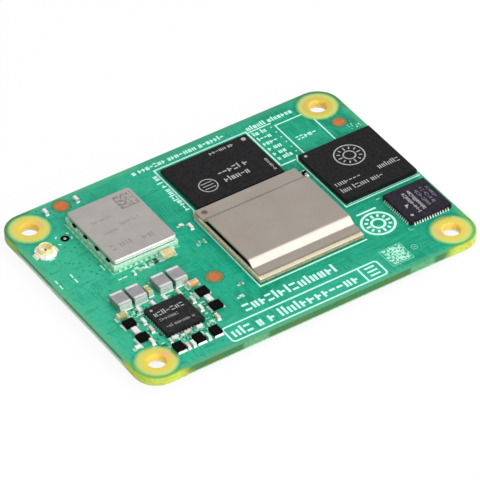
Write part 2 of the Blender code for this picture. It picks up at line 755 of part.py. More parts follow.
def add_antenna_connector(build):
    outer = ANTENNA_SHELL_DIAMETER / 2
    inner = outer - ANTENNA_SHELL_WALL
    pin = ANTENNA_PIN_DIAMETER / 2

    bm = bmesh.new()
    add_box(
        bm,
        centred(ANTENNA_BASE_LENGTH),
        centred(ANTENNA_BASE_WIDTH),
        (0.0, ANTENNA_BASE_HEIGHT),
    )
    base = build.piece(
        "antenna_connector_base",
        finished(bm, "base"),
        "white_plastic",
        ANTENNA_X,
        ANTENNA_Y,
        BOARD_TOP,
    )
    seat = (ANTENNA_FLOOR, 2 * ANTENNA_BASE_HEIGHT)
    groove = revolved(
        "groove",
        [
            (inner - SLIDING_CLEARANCE, seat[0]),
            (outer + SLIDING_CLEARANCE, seat[0]),
            (outer + SLIDING_CLEARANCE, seat[1]),
            (inner - SLIDING_CLEARANCE, seat[1]),
        ],
        ROUND_SEGMENTS,
    )
    build.boolean(base, "DIFFERENCE", "groove", groove)
    build.boolean(base, "DIFFERENCE", "tab_slots", antenna_tabs(SLIDING_CLEARANCE))
    socket = bmesh.new()
    add_cylinder(socket, 0.0, 0.0, seat, pin + SLIDING_CLEARANCE, ROUND_SEGMENTS // 2)
    build.boolean(base, "DIFFERENCE", "pin_socket", finished(socket, "pin_socket"))

    waist = (ANTENNA_BASE_HEIGHT + ANTENNA_SHELL_TOP) / 2
    shell_profile = [
        (inner, ANTENNA_FLOOR),
        (outer, ANTENNA_FLOOR),
        (outer, ANTENNA_BASE_HEIGHT),
        (outer - ANTENNA_SNAP_DEPTH, waist),
        (outer, ANTENNA_SHELL_TOP - ANTENNA_SNAP_DEPTH),
        (outer - ANTENNA_SNAP_DEPTH, ANTENNA_SHELL_TOP),
        (inner, ANTENNA_SHELL_TOP),
    ]
    shell = build.piece(
        "antenna_connector_shell",
        revolved("shell", shell_profile, ROUND_SEGMENTS),
        "gold",
        ANTENNA_X,
        ANTENNA_Y,
        BOARD_TOP,
    )
    build.boolean(shell, "UNION", "tabs", antenna_tabs(), overlapping=True)

    bm = bmesh.new()
    add_cylinder(bm, 0.0, 0.0, (ANTENNA_FLOOR, ANTENNA_PIN_TOP), pin, ROUND_SEGMENTS // 2)
    bevel(bm, top_edges(bm, ANTENNA_PIN_TOP), pin / 3, 1)
    build.piece(
        "antenna_connector_pin", finished(bm, "pin"), "gold", ANTENNA_X, ANTENNA_Y, BOARD_TOP
    )


# Parts with two end terminals


def two_terminal_mesh(name, size):
    """A body along X with a cap wrapped round each end, standing on the caps."""
    middle = size.length - 2 * size.terminal
    bm = bmesh.new()
    add_box(
        bm,
        centred(middle),
        centred(size.width - 2 * TERMINAL_WRAP),
        (TERMINAL_WRAP, size.height - TERMINAL_WRAP),
    )
    centre = Vector((0.0, 0.0, size.height / 2))
    to_centre = Matrix.Translation(-centre)
    widen = Vector(
        (
            1.0,
            size.width / (size.width - 2 * TERMINAL_WRAP),
            size.height / (size.height - 2 * TERMINAL_WRAP),
        )
    )
    ends = [face for face in bm.faces if abs(face.normal.x) > 0.5]
    for face in ends:
        outwards = face.normal.x * size.terminal
        rim = bmesh.ops.extrude_discrete_faces(bm, faces=[face])["faces"][0]
        bmesh.ops.scale(bm, vec=widen, space=to_centre, verts=rim.verts)
        cap = bmesh.ops.extrude_discrete_faces(bm, faces=[rim])["faces"][0]
        bmesh.ops.translate(bm, vec=(outwards, 0.0, 0.0), verts=cap.verts)
    return finished(bm, name)


def power_stage():
    """(name, material, size, x, y, turn) of the parts round the power controller, from its middle."""
    inductor = ChipSize(INDUCTOR_LENGTH, INDUCTOR_WIDTH, INDUCTOR_HEIGHT, INDUCTOR_TERMINAL)
    choke = ChipSize(CHOKE_LENGTH, CHOKE_WIDTH, CHOKE_HEIGHT, CHOKE_TERMINAL)
    half = POWER_SIDE / 2 + LEAD_STAND_OUT

    # behind the controller: a row of small capacitors, then the inductors in two pairs
    back_row = half + PASSIVE_GAP + SMALL.length / 2
    for index, x in enumerate((-3.2, -0.95, 0.95, 3.15)):
        yield f"capacitor_back_{index + 1}", "ceramic", SMALL, x * MM, back_row, ALONG_Y
    inductor_row = back_row + SMALL.length / 2 + INDUCTOR_ROW_GAP + INDUCTOR_LENGTH / 2
    near = (INDUCTOR_MIDDLE_GAP + INDUCTOR_WIDTH) / 2
    far = near + INDUCTOR_WIDTH + INDUCTOR_PAIR_GAP
    for index, x in enumerate((-far, -near, near, far)):
        yield f"power_inductor_{index + 1}", "inductor", inductor, x, inductor_row, ALONG_Y
    x, y = -MIDDLE_CAPACITOR_SHIFT, inductor_row - MIDDLE_CAPACITOR_SHIFT
    yield "capacitor_middle", "ceramic", MEDIUM, x, y, ALONG_Y

    # left and right: a column of small capacitors, then two chokes with a capacitor between them
    small_column = half + 2 * PASSIVE_GAP + SMALL.width / 2
    choke_column = half + CHOKE_COLUMN_GAP + CHOKE_LENGTH / 2
    between = CHOKE_COLUMN_SPACING / 2
    for side, sign, end_gap in (("left", -1.0, LEFT_END_GAP), ("right", 1.0, RIGHT_END_GAP)):
        for index, y in enumerate((1.6, -0.4)):
            name = f"capacitor_{side}_{index + 1}"
            yield name, "ceramic", SMALL, sign * small_column, y * MM, ALONG_Y
        for index, step in enumerate((between, -between)):
            y = CHOKE_COLUMN_SHIFT + step
            yield f"choke_{side}_{index + 1}", "ferrite", choke, sign * choke_column, y, ALONG_X
        name = f"capacitor_{side}_column"
        yield name, "ceramic", SHORT, sign * choke_column, CHOKE_COLUMN_SHIFT, ALONG_Y
        x = sign * choke_column + (LEFT_END_GAP - end_gap)
        y = CHOKE_COLUMN_SHIFT + between + CHOKE_WIDTH / 2 + end_gap + MEDIUM.width / 2
        yield f"capacitor_{side}_end", "ceramic", MEDIUM, x, y, ALONG_X

    # in front: a row of small capacitors, then three chokes
    front_row = -(half + PASSIVE_GAP + SMALL.width / 2)
    for index, x in enumerate((-2.2, -0.2, 1.7)):
        yield f"capacitor_front_{index + 1}", "ceramic", SMALL, x * MM, front_row, ALONG_X
    choke_row = -(half + CHOKE_ROW_GAP + CHOKE_LENGTH / 2)
    for index, x in enumerate((-2.8, 0.35, 3.0)):
        yield f"choke_front_{index + 1}", "ferrite", choke, x * MM, choke_row, ALONG_Y
    between_row = choke_row - (CHOKE_LENGTH - SMALL.length) / 2
    for index, x in enumerate((-1.65, -0.8, 1.6)):
        name = f"capacitor_between_{index + 1}"
        yield name, "ceramic", SMALL, x * MM, between_row, ALONG_Y
    yield "capacitor_front_left", "ceramic", SMALL, -5.15 * MM, -2.5 * MM, ALONG_Y
    yield "capacitor_front_right", "ceramic", SMALL, 4.8 * MM, -3.2 * MM, ALONG_Y
    yield "capacitor_corner", "ceramic", SMALL, -7.3 * MM, -2.45 * MM, ALONG_X


def add_passives(build):
    for name, material, size, x, y, turn in power_stage():
        mesh = two_terminal_mesh(name, size)
        build.piece(name, mesh, material, POWER_X + x, POWER_Y + y, BOARD_TOP, turn)

    # between the wireless module and the inductors
    x = WIRELESS_X + CARRIER_LENGTH / 2 - 1.18 * LARGE.length
    y = WIRELESS_Y - CARRIER_WIDTH / 2 - PASSIVE_GAP - LARGE.width / 2
    mesh = two_terminal_mesh("capacitor_wireless", LARGE)
    build.piece("capacitor_wireless", mesh, "ceramic", x, y, BOARD_TOP)
    room = (PASSIVE_GAP + SMALL.length) / 2
    nearest = x + LARGE.length / 2 + room

    # along the board's back edge, a third of the way from it to the wireless module
    strip = BOARD_WIDTH / 2 - WIRELESS_Y - CARRIER_WIDTH / 2
    y = BOARD_WIDTH / 2 - EDGE_CAPACITOR_SHARE * strip
    for side, x in (("left", -6.3), ("right", -1.33)):
        mesh = two_terminal_mesh("capacitor_edge", SMALL)
        x = WIRELESS_X + x * MM
        build.piece(f"capacitor_edge_{side}", mesh, "ceramic", x, y, BOARD_TOP, ALONG_Y)

    # between the wireless module's capacitor and the processor
    farthest = PROCESSOR_X - SUBSTRATE_SIDE / 2 - room
    x = nearest + SIDE_CAPACITOR_SHARE * (farthest - nearest)
    y = PROCESSOR_Y + SIDE_CAPACITOR_SHIFT
    mesh = two_terminal_mesh("capacitor_processor", SMALL)
    build.piece("capacitor_processor", mesh, "ceramic", x, y, BOARD_TOP, ALONG_X)


def main():
    clear_scene()
    build = Builder()
    add_circuit_board(build)
    add_screw_pads(build)
    add_headers(build)
    add_processor(build)
    add_ball_package(
        build,
        "memory_chip",
        "mould",
        MEMORY_X,
        MEMORY_Y,
        MEMORY_LENGTH,
        MEMORY_WIDTH,
        MEMORY_BODY,
        CHIP_BALL_HEIGHT,
    )
    add_ball_package(
        build, "io_controller", "mould", IO_X, IO_Y, IO_SIDE, IO_SIDE, IO_BODY, CHIP_BALL_HEIGHT
    )
    add_leaded_package(
        build,
        "network_chip",
        NETWORK_X,
        NETWORK_Y,
        NETWORK_SIDE,
        NETWORK_HEIGHT,
        NETWORK_LEADS,
        NETWORK_LEAD_PITCH,
    )
    add_leaded_package(
        build,
        "power_controller",
        POWER_X,
        POWER_Y,
        POWER_SIDE,
        POWER_HEIGHT,
        POWER_LEADS,
        POWER_LEAD_PITCH,
    )
    add_wireless_module(build)
    add_antenna_connector(build)
    add_passives(build)


main()
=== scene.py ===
import math
import random

import bmesh
import bpy
from mathutils import Matrix, Vector


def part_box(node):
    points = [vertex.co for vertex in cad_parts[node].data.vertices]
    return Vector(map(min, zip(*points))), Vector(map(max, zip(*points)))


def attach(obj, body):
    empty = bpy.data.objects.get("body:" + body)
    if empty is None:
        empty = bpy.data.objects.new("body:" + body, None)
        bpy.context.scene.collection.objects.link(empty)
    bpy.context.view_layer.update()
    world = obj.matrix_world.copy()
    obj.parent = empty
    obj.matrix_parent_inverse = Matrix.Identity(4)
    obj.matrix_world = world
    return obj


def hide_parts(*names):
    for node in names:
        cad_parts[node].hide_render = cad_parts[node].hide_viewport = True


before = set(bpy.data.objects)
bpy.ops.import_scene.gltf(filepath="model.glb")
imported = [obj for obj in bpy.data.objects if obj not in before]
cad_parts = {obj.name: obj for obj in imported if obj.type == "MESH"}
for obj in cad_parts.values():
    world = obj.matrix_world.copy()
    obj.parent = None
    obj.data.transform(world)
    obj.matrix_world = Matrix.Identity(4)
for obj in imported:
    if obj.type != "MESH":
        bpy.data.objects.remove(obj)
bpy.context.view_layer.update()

# Sizes here are in millimetres. Every mesh is scaled to metres when it becomes a piece.
MM = 0.001
BOARD = [[1000 * value for value in corner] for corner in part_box("circuit_board")]
TOP = BOARD[1][2]
UNDERSIDE = BOARD[0][2]
MIDDLE = (TOP + UNDERSIDE) / 2
# thickness of the print on the board, of its thinner kind, and of the marks on parts
PRINT = 0.012
THIN_PRINT = 0.6 * PRINT
MARK = 0.004
# the screw holes' places, mirrored in x and y
HOLE_X, HOLE_Y = 24.0, 16.5
HOLES = [(x, y) for x in (-HOLE_X, HOLE_X) for y in (-HOLE_Y, HOLE_Y)]
QUARTER = math.pi / 2
PHOTO_SIDE = 480


def corners(node):
    """Lowest and highest corner of a CAD node, in millimetres."""
    return [[1000 * value for value in corner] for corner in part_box(node)]


def centre(low, high):
    """The middle of a box in x and y, and half of its sides."""
    return (low[0] + high[0]) / 2, (low[1] + high[1]) / 2, (high[0] - low[0]) / 2, (high[1] - low[1]) / 2


def around(middle, half):
    """The stretch that reaches as far to both sides of a middle."""
    return middle - half, middle + half


def span(edge, side, inner, outer):
    """The stretch between two distances from an edge, on its outer side for positive ones."""
    return tuple(sorted((edge + side * inner, edge + side * outer)))


def linear(channel):
    """The linear value of a colour channel of 0 to 255."""
    share = channel / 255
    return share / 12.92 if share <= 0.04045 else ((share + 0.055) / 1.055) ** 2.4


def colour(red, green, blue):
    return (linear(red), linear(green), linear(blue), 1.0)


# Materials


class Graph:
    """A node tree. A value is a number, a colour, a vector or another node's output."""

    def __init__(self, tree):
        self.tree = tree

    def node(self, kind, **settings):
        made = self.tree.nodes.new(kind)
        for setting, value in settings.items():
            setattr(made, setting, value)
        return made

    def plug(self, value, socket):
        if isinstance(value, bpy.types.NodeSocket):
            self.tree.links.new(value, socket)
        else:
            socket.default_value = value

    def feed(self, node, *values):
        """Plugs values into a node's first inputs, and gives its first output."""
        for value, socket in zip(values, node.inputs):
            self.plug(value, socket)
        return node.outputs[0]

    def maths(self, operation, *values):
        return self.feed(self.node("ShaderNodeMath", operation=operation), *values)

    def vector_maths(self, operation):
        return self.node("ShaderNodeVectorMath", operation=operation)


class Surface(Graph):
    """A procedural material. Its coordinates are the object's own, in millimetres."""

    def __init__(self, name, metallic=0.0, roughness=0.5, **sockets):
        self.material = bpy.data.materials.new(name)
        self.material.use_nodes = True
        super().__init__(self.material.node_tree)
        self.shader = self.tree.nodes["Principled BSDF"]
        sockets.update(Metallic=metallic, Roughness=roughness)
        for socket, value in sockets.items():
            self.shader.inputs[socket.replace("_", " ")].default_value = value
        scale = self.vector_maths("SCALE")
        scale.inputs["Scale"].default_value = 1 / MM
        self.place = self.feed(scale, self.node("ShaderNodeTexCoord").outputs["Object"])
        split = self.node("ShaderNodeSeparateXYZ")
        self.feed(split, self.place)
        self.x, self.y, self.z = split.outputs

    def times(self, *factors):
        """The product of the factors. One that is given as (value, start, end) stands for its ramp."""
        parts = [self.ramp(*factor) if isinstance(factor, tuple) else factor for factor in factors]
        product = parts[0]
        for part in parts[1:]:
            product = self.maths("MULTIPLY", product, part)
        return product

    def off(self, axis, middle):
        """Distance along an axis from a place on it."""
        return self.maths("ABSOLUTE", self.maths("SUBTRACT", axis, middle))

    def reach(self, x, y, spot):
        """Distance of (x, y) from a spot."""
        along, across = (self.maths("SUBTRACT", *pair) for pair in zip((x, y), spot))
        return self.maths("SQRT", self.maths("ADD", self.times(along, along), self.times(across, across)))

    def ramp(self, value, start, end):
        """0 at start and 1 at end, smooth between them."""
        made = self.node("ShaderNodeMapRange", interpolation_type="SMOOTHSTEP")
        return self.feed(made, value, start, end, 0.0, 1.0)

    def spread(self, value, low, high):
        """Maps a texture's middle range onto low to high."""
        return self.feed(self.node("ShaderNodeMapRange"), value, 0.3, 0.7, low, high)

    def noise(self, size, detail=2.0, stretch=(1.0, 1.0, 1.0)):
        """Noise with features of about this size in millimetres."""
        density = [1.0 / (size * share) for share in stretch]
        made = self.node("ShaderNodeTexNoise")
        made.inputs["Scale"].default_value = 1.0
        made.inputs["Detail"].default_value = detail
        return self.feed(made, self.feed(self.vector_maths("MULTIPLY"), self.place, density))

    def mix(self, factor, first, second):
        """Goes from the first tone to the second. The factor may be given as in times."""
        made = self.node("ShaderNodeMix", data_type="RGBA")
        tones = [colour(*tone) if isinstance(tone, tuple) else tone for tone in (first, second)]
        for index, value in zip((0, 6, 7), (self.times(factor), *tones)):
            self.plug(value, made.inputs[index])
        return made.outputs[2]

    def tint(self, base, tone, *shares):
        """Lays a tone over a base, by the product of the shares."""
        return self.mix(self.times(*shares), base, tone)

    def tones(self, first, second, size, detail=2.0):
        """Drifts between two tones in patches of about this size."""
        return self.mix(self.spread(self.noise(size, detail), 0.0, 1.0), first, second)

    def normal_part(self, axis):
        """How far the surface faces along an axis, without sign."""
        split = self.node("ShaderNodeSeparateXYZ")
        self.feed(split, self.node("ShaderNodeNewGeometry").outputs["True Normal"])
        return self.maths("ABSOLUTE", split.outputs[axis])

    def paint(self, value):
        self.plug(value, self.shader.inputs["Base Color"])

    def gloss(self, value):
        self.plug(value, self.shader.inputs["Roughness"])

    def relief(self, height, depth):
        """Raises the surface by a height of 0 to 1 times depth, in millimetres."""
        made = self.node("ShaderNodeBump")
        made.inputs["Distance"].default_value = depth * MM
        self.plug(height, made.inputs["Height"])
        self.plug(made.outputs[0], self.shader.inputs["Normal"])

    def finish(self, grain, glossiest, dullest, depth):
        """Varies the gloss and the relief with one grain, and gives the material."""
        self.gloss(self.spread(grain, glossiest, dullest))
        self.relief(grain, depth)
        return self.material


def mottled(name, light, dark, size, grain, depth, roughness, metallic=0.0, specular=0.5):
    """A material whose colour drifts between two tones, with a fine grain in gloss and relief."""
    made = Surface(name, metallic, roughness, Specular_IOR_Level=specular)
    made.paint(made.tones(dark, light, size, 3.0))
    return made.finish(made.noise(grain), roughness - 0.06, roughness + 0.08, depth)


def from_holes(surface):
    """Distance from the axis of the nearest screw hole, in millimetres."""
    x, y = (surface.maths("ABSOLUTE", axis) for axis in (surface.x, surface.y))
    return surface.reach(x, y, (HOLE_X, HOLE_Y))


def board_material():
    """Solder mask over copper areas on both faces, and the laminate's layers round the edge."""
    made = Surface("board_green", roughness=0.34, Specular_IOR_Level=0.12)
    areas = made.ramp(made.noise(2.6, 4.0), 0.46, 0.56)
    cloud = made.noise(9.0, 1.0)
    fine = made.noise(0.35, 3.0)
    weave = made.noise(0.14, 1.0)
    mask = made.mix(areas, (6, 138, 106), (22, 156, 122))
    mask = made.tint(mask, (30, 164, 130), (cloud, 0.35, 0.75))
    # the copper lies closer to the surface in the left part, where the mask looks paler
    mask = made.tint(mask, (66, 188, 150), (made.x, -7.0, -19.0), 0.75)
    # a greyer tone along the front and the back, a deeper one at the right, a fresher one in the middle
    away = made.maths("ABSOLUTE", made.maths("ADD", made.y, 1.0))
    mask = made.tint(mask, (48, 172, 138), (away, 11.0, 15.5), (made.x, 17.0, 10.0), 0.75)
    mask = made.tint(
        mask, (6, 142, 106),
        (made.x, 9.0, 19.0), (made.y, 10.0, 4.0), (made.y, -17.5, -13.5), 0.4,
    )
    away = made.maths("ABSOLUTE", made.maths("ADD", made.y, 3.0))
    mask = made.tint(
        mask, (24, 184, 150),
        (made.x, -12.0, -8.0), (made.x, 0.0, -4.0), (away, 10.0, 6.0), 0.45,
    )
    # bundles of traces below the mask, along x in some places and along y in others
    lengthwise = made.noise(0.34, 2.0, (9.0, 1.0, 1.0))
    crosswise = made.noise(0.34, 2.0, (1.0, 9.0, 1.0))
    field = made.ramp(made.noise(5.0, 1.0), 0.47, 0.53)
    other = made.maths("SUBTRACT", 1.0, field)
    bundle = made.maths("ADD", made.times(lengthwise, field), made.times(crosswise, other))
    raised = made.ramp(bundle, 0.54, 0.62)
    mask = made.tint(mask, (54, 188, 152), raised, 0.32)
    mask = made.tint(mask, (2, 112, 86), (bundle, 0.45, 0.37), 0.32)
    mask = made.tint(mask, (2, 108, 82), made.spread(fine, 0.0, 0.2))
    # bare laminate: lighter and more yellow round the screw holes, where it holds no copper
    reach = from_holes(made)
    near = made.ramp(reach, made.maths("ADD", 4.6, made.times(made.noise(1.5, 2.0), 1.4)), 3.7)
    layers = made.maths("SINE", made.times(made.z, 27.0))
    plain = made.mix(made.spread(layers, 0.0, 0.6), (64, 120, 72), (46, 92, 54))
    plain = made.tint(plain, (90, 108, 54), (made.noise(2.4, 2.0), 0.5, 0.66), 0.6)
    # two lighter stretches of the front wall, where the board was broken out
    for place in (-10.4, 16.8):
        plain = made.tint(plain, (106, 178, 134), (made.off(made.x, place), 2.4, 1.6), 0.65)
    # the left wall: dark along its upper edge as painted shade, pale towards its lower one as painted
    # reflection of the floor, with one such stretch
    left = made.ramp(made.x, -27.3, -27.45)
    upright = made.mix((made.z, MIDDLE + 0.2, MIDDLE - 0.25), (66, 128, 92), (194, 230, 206))
    upright = made.tint(upright, (224, 248, 234), (made.z, UNDERSIDE + 0.3, UNDERSIDE + 0.1))
    upright = made.tint(upright, (140, 200, 160), (made.off(made.y, 3.1), 1.9, 1.0), 0.5)
    # all walls paler along their lower edge, away from the screw holes: painted reflection of the floor
    plain = made.tint(
        plain, (206, 232, 208),
        (made.z, UNDERSIDE + 0.32, UNDERSIDE + 0.06), (reach, 3.7, 4.6), 0.75,
    )
    plain = made.mix(left, plain, upright)
    lime = made.mix((made.noise(1.3, 2.0), 0.5, 0.7), (190, 208, 84), (206, 184, 74))
    lime = made.tint(lime, (122, 174, 72), (made.y, -5.0, 5.0), 0.7)
    laminate = made.mix(near, plain, lime)
    laminate = made.tint(laminate, (52, 84, 48), made.spread(made.noise(0.5, 2.0), 0.0, 0.3))
    # distance past the rounded corners' centres: 3.5 at the board's outline
    outer = []
    for axis, start in ((made.x, HOLE_X), (made.y, HOLE_Y)):
        past = made.maths("MAXIMUM", made.maths("SUBTRACT", made.maths("ABSOLUTE", axis), start), 0.0)
        outer.append(made.times(past, past))
    outline = made.maths("SQRT", made.maths("ADD", *outer))
    mask = made.tint(mask, (86, 172, 126), (outline, 2.2, 3.2), 0.6)
    mask = made.tint(mask, (88, 158, 122), (made.y, -19.0, -19.5), (made.x, 9.0, 5.0), 0.5)
    mask = made.tint(mask, (44, 136, 108), (made.y, 18.9, 19.4), (made.x, -6.0, -2.0), 0.5)
    # past the screw holes: olive at the back, and lime at the front
    olive = made.mix((made.y, -5.0, 5.0), (112, 172, 58), (84, 134, 74))
    mask = made.mix(made.times((outline, 2.95, 3.1), (reach, 4.4, 3.5), 0.9), mask, olive)
    mask = made.tint(
        mask, (176, 214, 84),
        (outline, 3.2, 3.35), (reach, 4.6, 3.5), (made.y, -16.0, -17.5), 0.8,
    )
    mask = made.tint(mask, (4, 112, 84), (reach, 3.15, 3.25), (reach, 3.6, 3.4), 0.3)
    mask = made.tint(mask, (150, 196, 110), (reach, 3.2, 2.95), 0.4)
    made.paint(made.mix((made.normal_part(2), 0.4, 0.6), laminate, mask))
    made.gloss(made.spread(fine, 0.28, 0.42))
    height = made.maths("ADD", made.times(raised, 0.8), made.times(weave, 0.3))
    made.relief(height, 0.004)
    return made.material


def pad_material():
    """Gold plating with a paler rim, where the solder mask laps over it."""
    made = Surface("plated_gold", metallic=0.55, roughness=0.3)
    reach = from_holes(made)
    # each ring has one warmer patch, where the plating is thinner
    patch = None
    for x, y in ((-22.0, -15.9), (-21.8, 16.5), (22.1, -16.2), (22.4, 17.7)):
        near = made.ramp(made.reach(made.x, made.y, (x, y)), 1.7, 0.3)
        patch = near if patch is None else made.maths("MAXIMUM", patch, near)
    drift = made.spread(made.noise(1.6, 2.0), 0.0, 0.4)
    gold = made.mix(drift, (226, 206, 76), (222, 196, 104))
    gold = made.tint(gold, (226, 182, 120), patch, 0.85)
    gold = made.tint(gold, (200, 184, 76), (made.x, 18.0, 20.0), (made.y, 10.0, 12.0), 0.65)
    gold = made.tint(gold, (206, 208, 112), (reach, 1.95, 2.5))
    made.paint(made.mix((reach, 2.45, 2.9), gold, (160, 200, 112)))
    fine = made.noise(1.1, 1.0)
    return made.finish(fine, 0.3, 0.38, 0.003)


def barrel_material():
    """Gold inside the screw holes, paler towards the underside, where the ground lights it."""
    made = Surface("barrel_gold", metallic=0.1, roughness=0.36)
    tone = made.tones((255, 206, 90), (255, 228, 112), 1.2, 3.0)
    low = made.ramp(made.z, UNDERSIDE + 0.4, UNDERSIDE + 0.1)
    made.paint(made.mix(low, tone, (255, 252, 214)))
    fine = made.noise(0.1, 2.0)
    return made.finish(fine, 0.3, 0.42, 0.002)


def substrate_material(low, high):
    """Package laminate: pale mask on top, near-black below the lid as painted shade, brown sides and
    solder balls.
    """
    made = Surface("package_laminate", roughness=0.45)
    fine = made.noise(0.18, 3.0)
    cream = made.tones((208, 199, 174), (223, 214, 192), 1.4)
    # painted shade: the top below the lid is near-black, as the gap under the lid lies in shade
    painted_shade_below_lid = made.times(
        (made.x, low[0] + 0.26, low[0] + 0.32), (made.x, high[0] - 0.26, high[0] - 0.32),
        (made.y, low[1] + 1.3, low[1] + 1.36), (made.y, high[1] - 1.7, high[1] - 1.76),
    )
    # painted light: a lighter strip along the left edge of the top
    cream = made.tint(cream, (244, 228, 190), (made.x, low[0] + 0.3, low[0] + 0.2))
    corner = ((made.x, low[0] + 0.7, low[0] + 0.4), (made.y, high[1] - 1.6, high[1] - 1.0))
    cream = made.tint(cream, (198, 146, 108), *corner)
    cream = made.tint(cream, (14, 12, 10), painted_shade_below_lid)
    side = made.tones((136, 121, 93), (170, 156, 126), 0.4)
    # painted light: the sides that look along X paler than the front and the back
    side = made.tint(side, (208, 198, 168), (made.normal_part(0), 0.6, 0.9), 0.7)
    body = made.mix((made.normal_part(2), 0.4, 0.6), side, cream)
    ball_top = low[2] + 0.25
    made.paint(made.mix((made.z, ball_top - 0.01, ball_top + 0.01), (188, 188, 186), body))
    return made.finish(fine, 0.38, 0.52, 0.004)


def carrier_material():
    """The wireless module's laminate: pale mask on top, greener cut sides with a fibre grain."""
    made = Surface("carrier_laminate", roughness=0.48, Specular_IOR_Level=0.3)
    fine = made.noise(0.12, 3.0, (1.0, 1.0, 0.4))
    top = made.tones((176, 214, 190), (206, 232, 212), 0.7)
    side = made.tones((140, 208, 174), (192, 234, 210), 0.5, 3.0)
    # the cut sides are palest along their upper edge as a painted highlight, and darker just above the
    # solder as painted shade
    side = made.tint(side, (214, 242, 226), (made.z, 3.3, 3.55), 0.5)
    side = made.tint(side, (84, 164, 128), (made.z, 3.12, 2.95), 0.6)
    made.paint(made.mix((made.normal_part(2), 0.4, 0.6), side, top))
    return made.finish(fine, 0.42, 0.56, 0.005)


def header_material():
    """Moulded plastic, with gold on the ribs that stand out of its walls and tin on the tails."""
    made = Surface("connector_plastic", roughness=0.5)
    away = made.off(made.maths("ABSOLUTE", made.y), HOLE_Y)
    outer = made.times((away, 1.252, 1.256), (away, 1.34, 1.32), (made.z, 1.03, 1.01))
    inner = made.times((away, 0.57, 0.585), (away, 0.648, 0.642), (made.z, 1.03, 1.01))
    tail = made.ramp(away, 1.655, 1.66)
    metal = made.maths("MAXIMUM", made.maths("MAXIMUM", outer, inner), tail)
    fine = made.noise(0.1, 3.0)
    plastic = made.tones((30, 29, 30), (42, 40, 41), 1.2)
    plated = made.mix(tail, (226, 184, 88), (196, 196, 192))
    made.paint(made.mix(metal, plastic, plated))
    made.plug(metal, made.shader.inputs["Metallic"])
    return made.finish(fine, 0.34, 0.52, 0.004)


def lid_material():
    """Nickel plate with a faint grain along X, a little duller at the bends."""
    made = Surface("lid_nickel", metallic=1.0, roughness=0.3)
    grain = made.noise(0.09, 3.0, (30.0, 1.0, 1.0))
    tone = made.tones((161, 151, 142), (168, 159, 151), 4.5)
    tone = made.tint(tone, (144, 132, 122), made.spread(grain, 0.0, 0.14))
    # the cut edges at the left and right ends are unplated and duller
    cut = made.ramp(made.normal_part(0), 0.7, 0.9)
    made.paint(made.mix(cut, tone, (178, 166, 146)))
    made.plug(made.maths("SUBTRACT", 1.0, made.times(cut, 0.85)), made.shader.inputs["Metallic"])
    return made.finish(grain, 0.24, 0.36, 0.0015)


def can_material():
    """Tinned steel of the wireless module's can: a smooth brushed top and bent walls, painted brighter
    than the top as painted reflection, and darker on the sides that look along X as painted shade.
    """
    made = Surface("can_steel", roughness=0.38)
    blotch = made.spread(made.noise(2.4, 3.0), 0.0, 1.0)
    fine = made.noise(0.12, 3.0)
    flat = made.ramp(made.normal_part(2), 0.55, 0.9)
    tone = made.mix(blotch, (167, 162, 158), (175, 170, 166))
    # painted light and shade: pale front and back walls, darker walls that look along X
    wall = made.mix((made.normal_part(0), 0.4, 0.8), (238, 246, 240), (160, 180, 166))
    made.paint(made.mix(flat, wall, tone))
    made.plug(made.maths("ADD", made.times(flat, 0.7), 0.25), made.shader.inputs["Metallic"])
    made.gloss(made.spread(fine, 0.32, 0.46))
    made.relief(made.maths("ADD", fine, made.times(blotch, 1.2)), 0.003)
    return made.material


def inductor_material():
    """Pressed iron powder: grey on top, darker and greener on the sides that look along X, as painted
    shade and painted reflection of the board.
    """
    made = Surface("inductor_body", metallic=0.2, roughness=0.5)
    fine = made.noise(0.08, 2.0)
    top = made.tones((136, 134, 139), (154, 151, 156), 0.9, 3.0)
    # painted shade and painted green reflection of the board on the sides that look along X
    side = made.tones((100, 130, 118), (122, 152, 138), 0.4)
    made.paint(made.mix((made.normal_part(0), 0.6, 0.9), top, side))
    return made.finish(fine, 0.44, 0.58, 0.008)


# how strongly matt surfaces reflect
DULL = 0.2

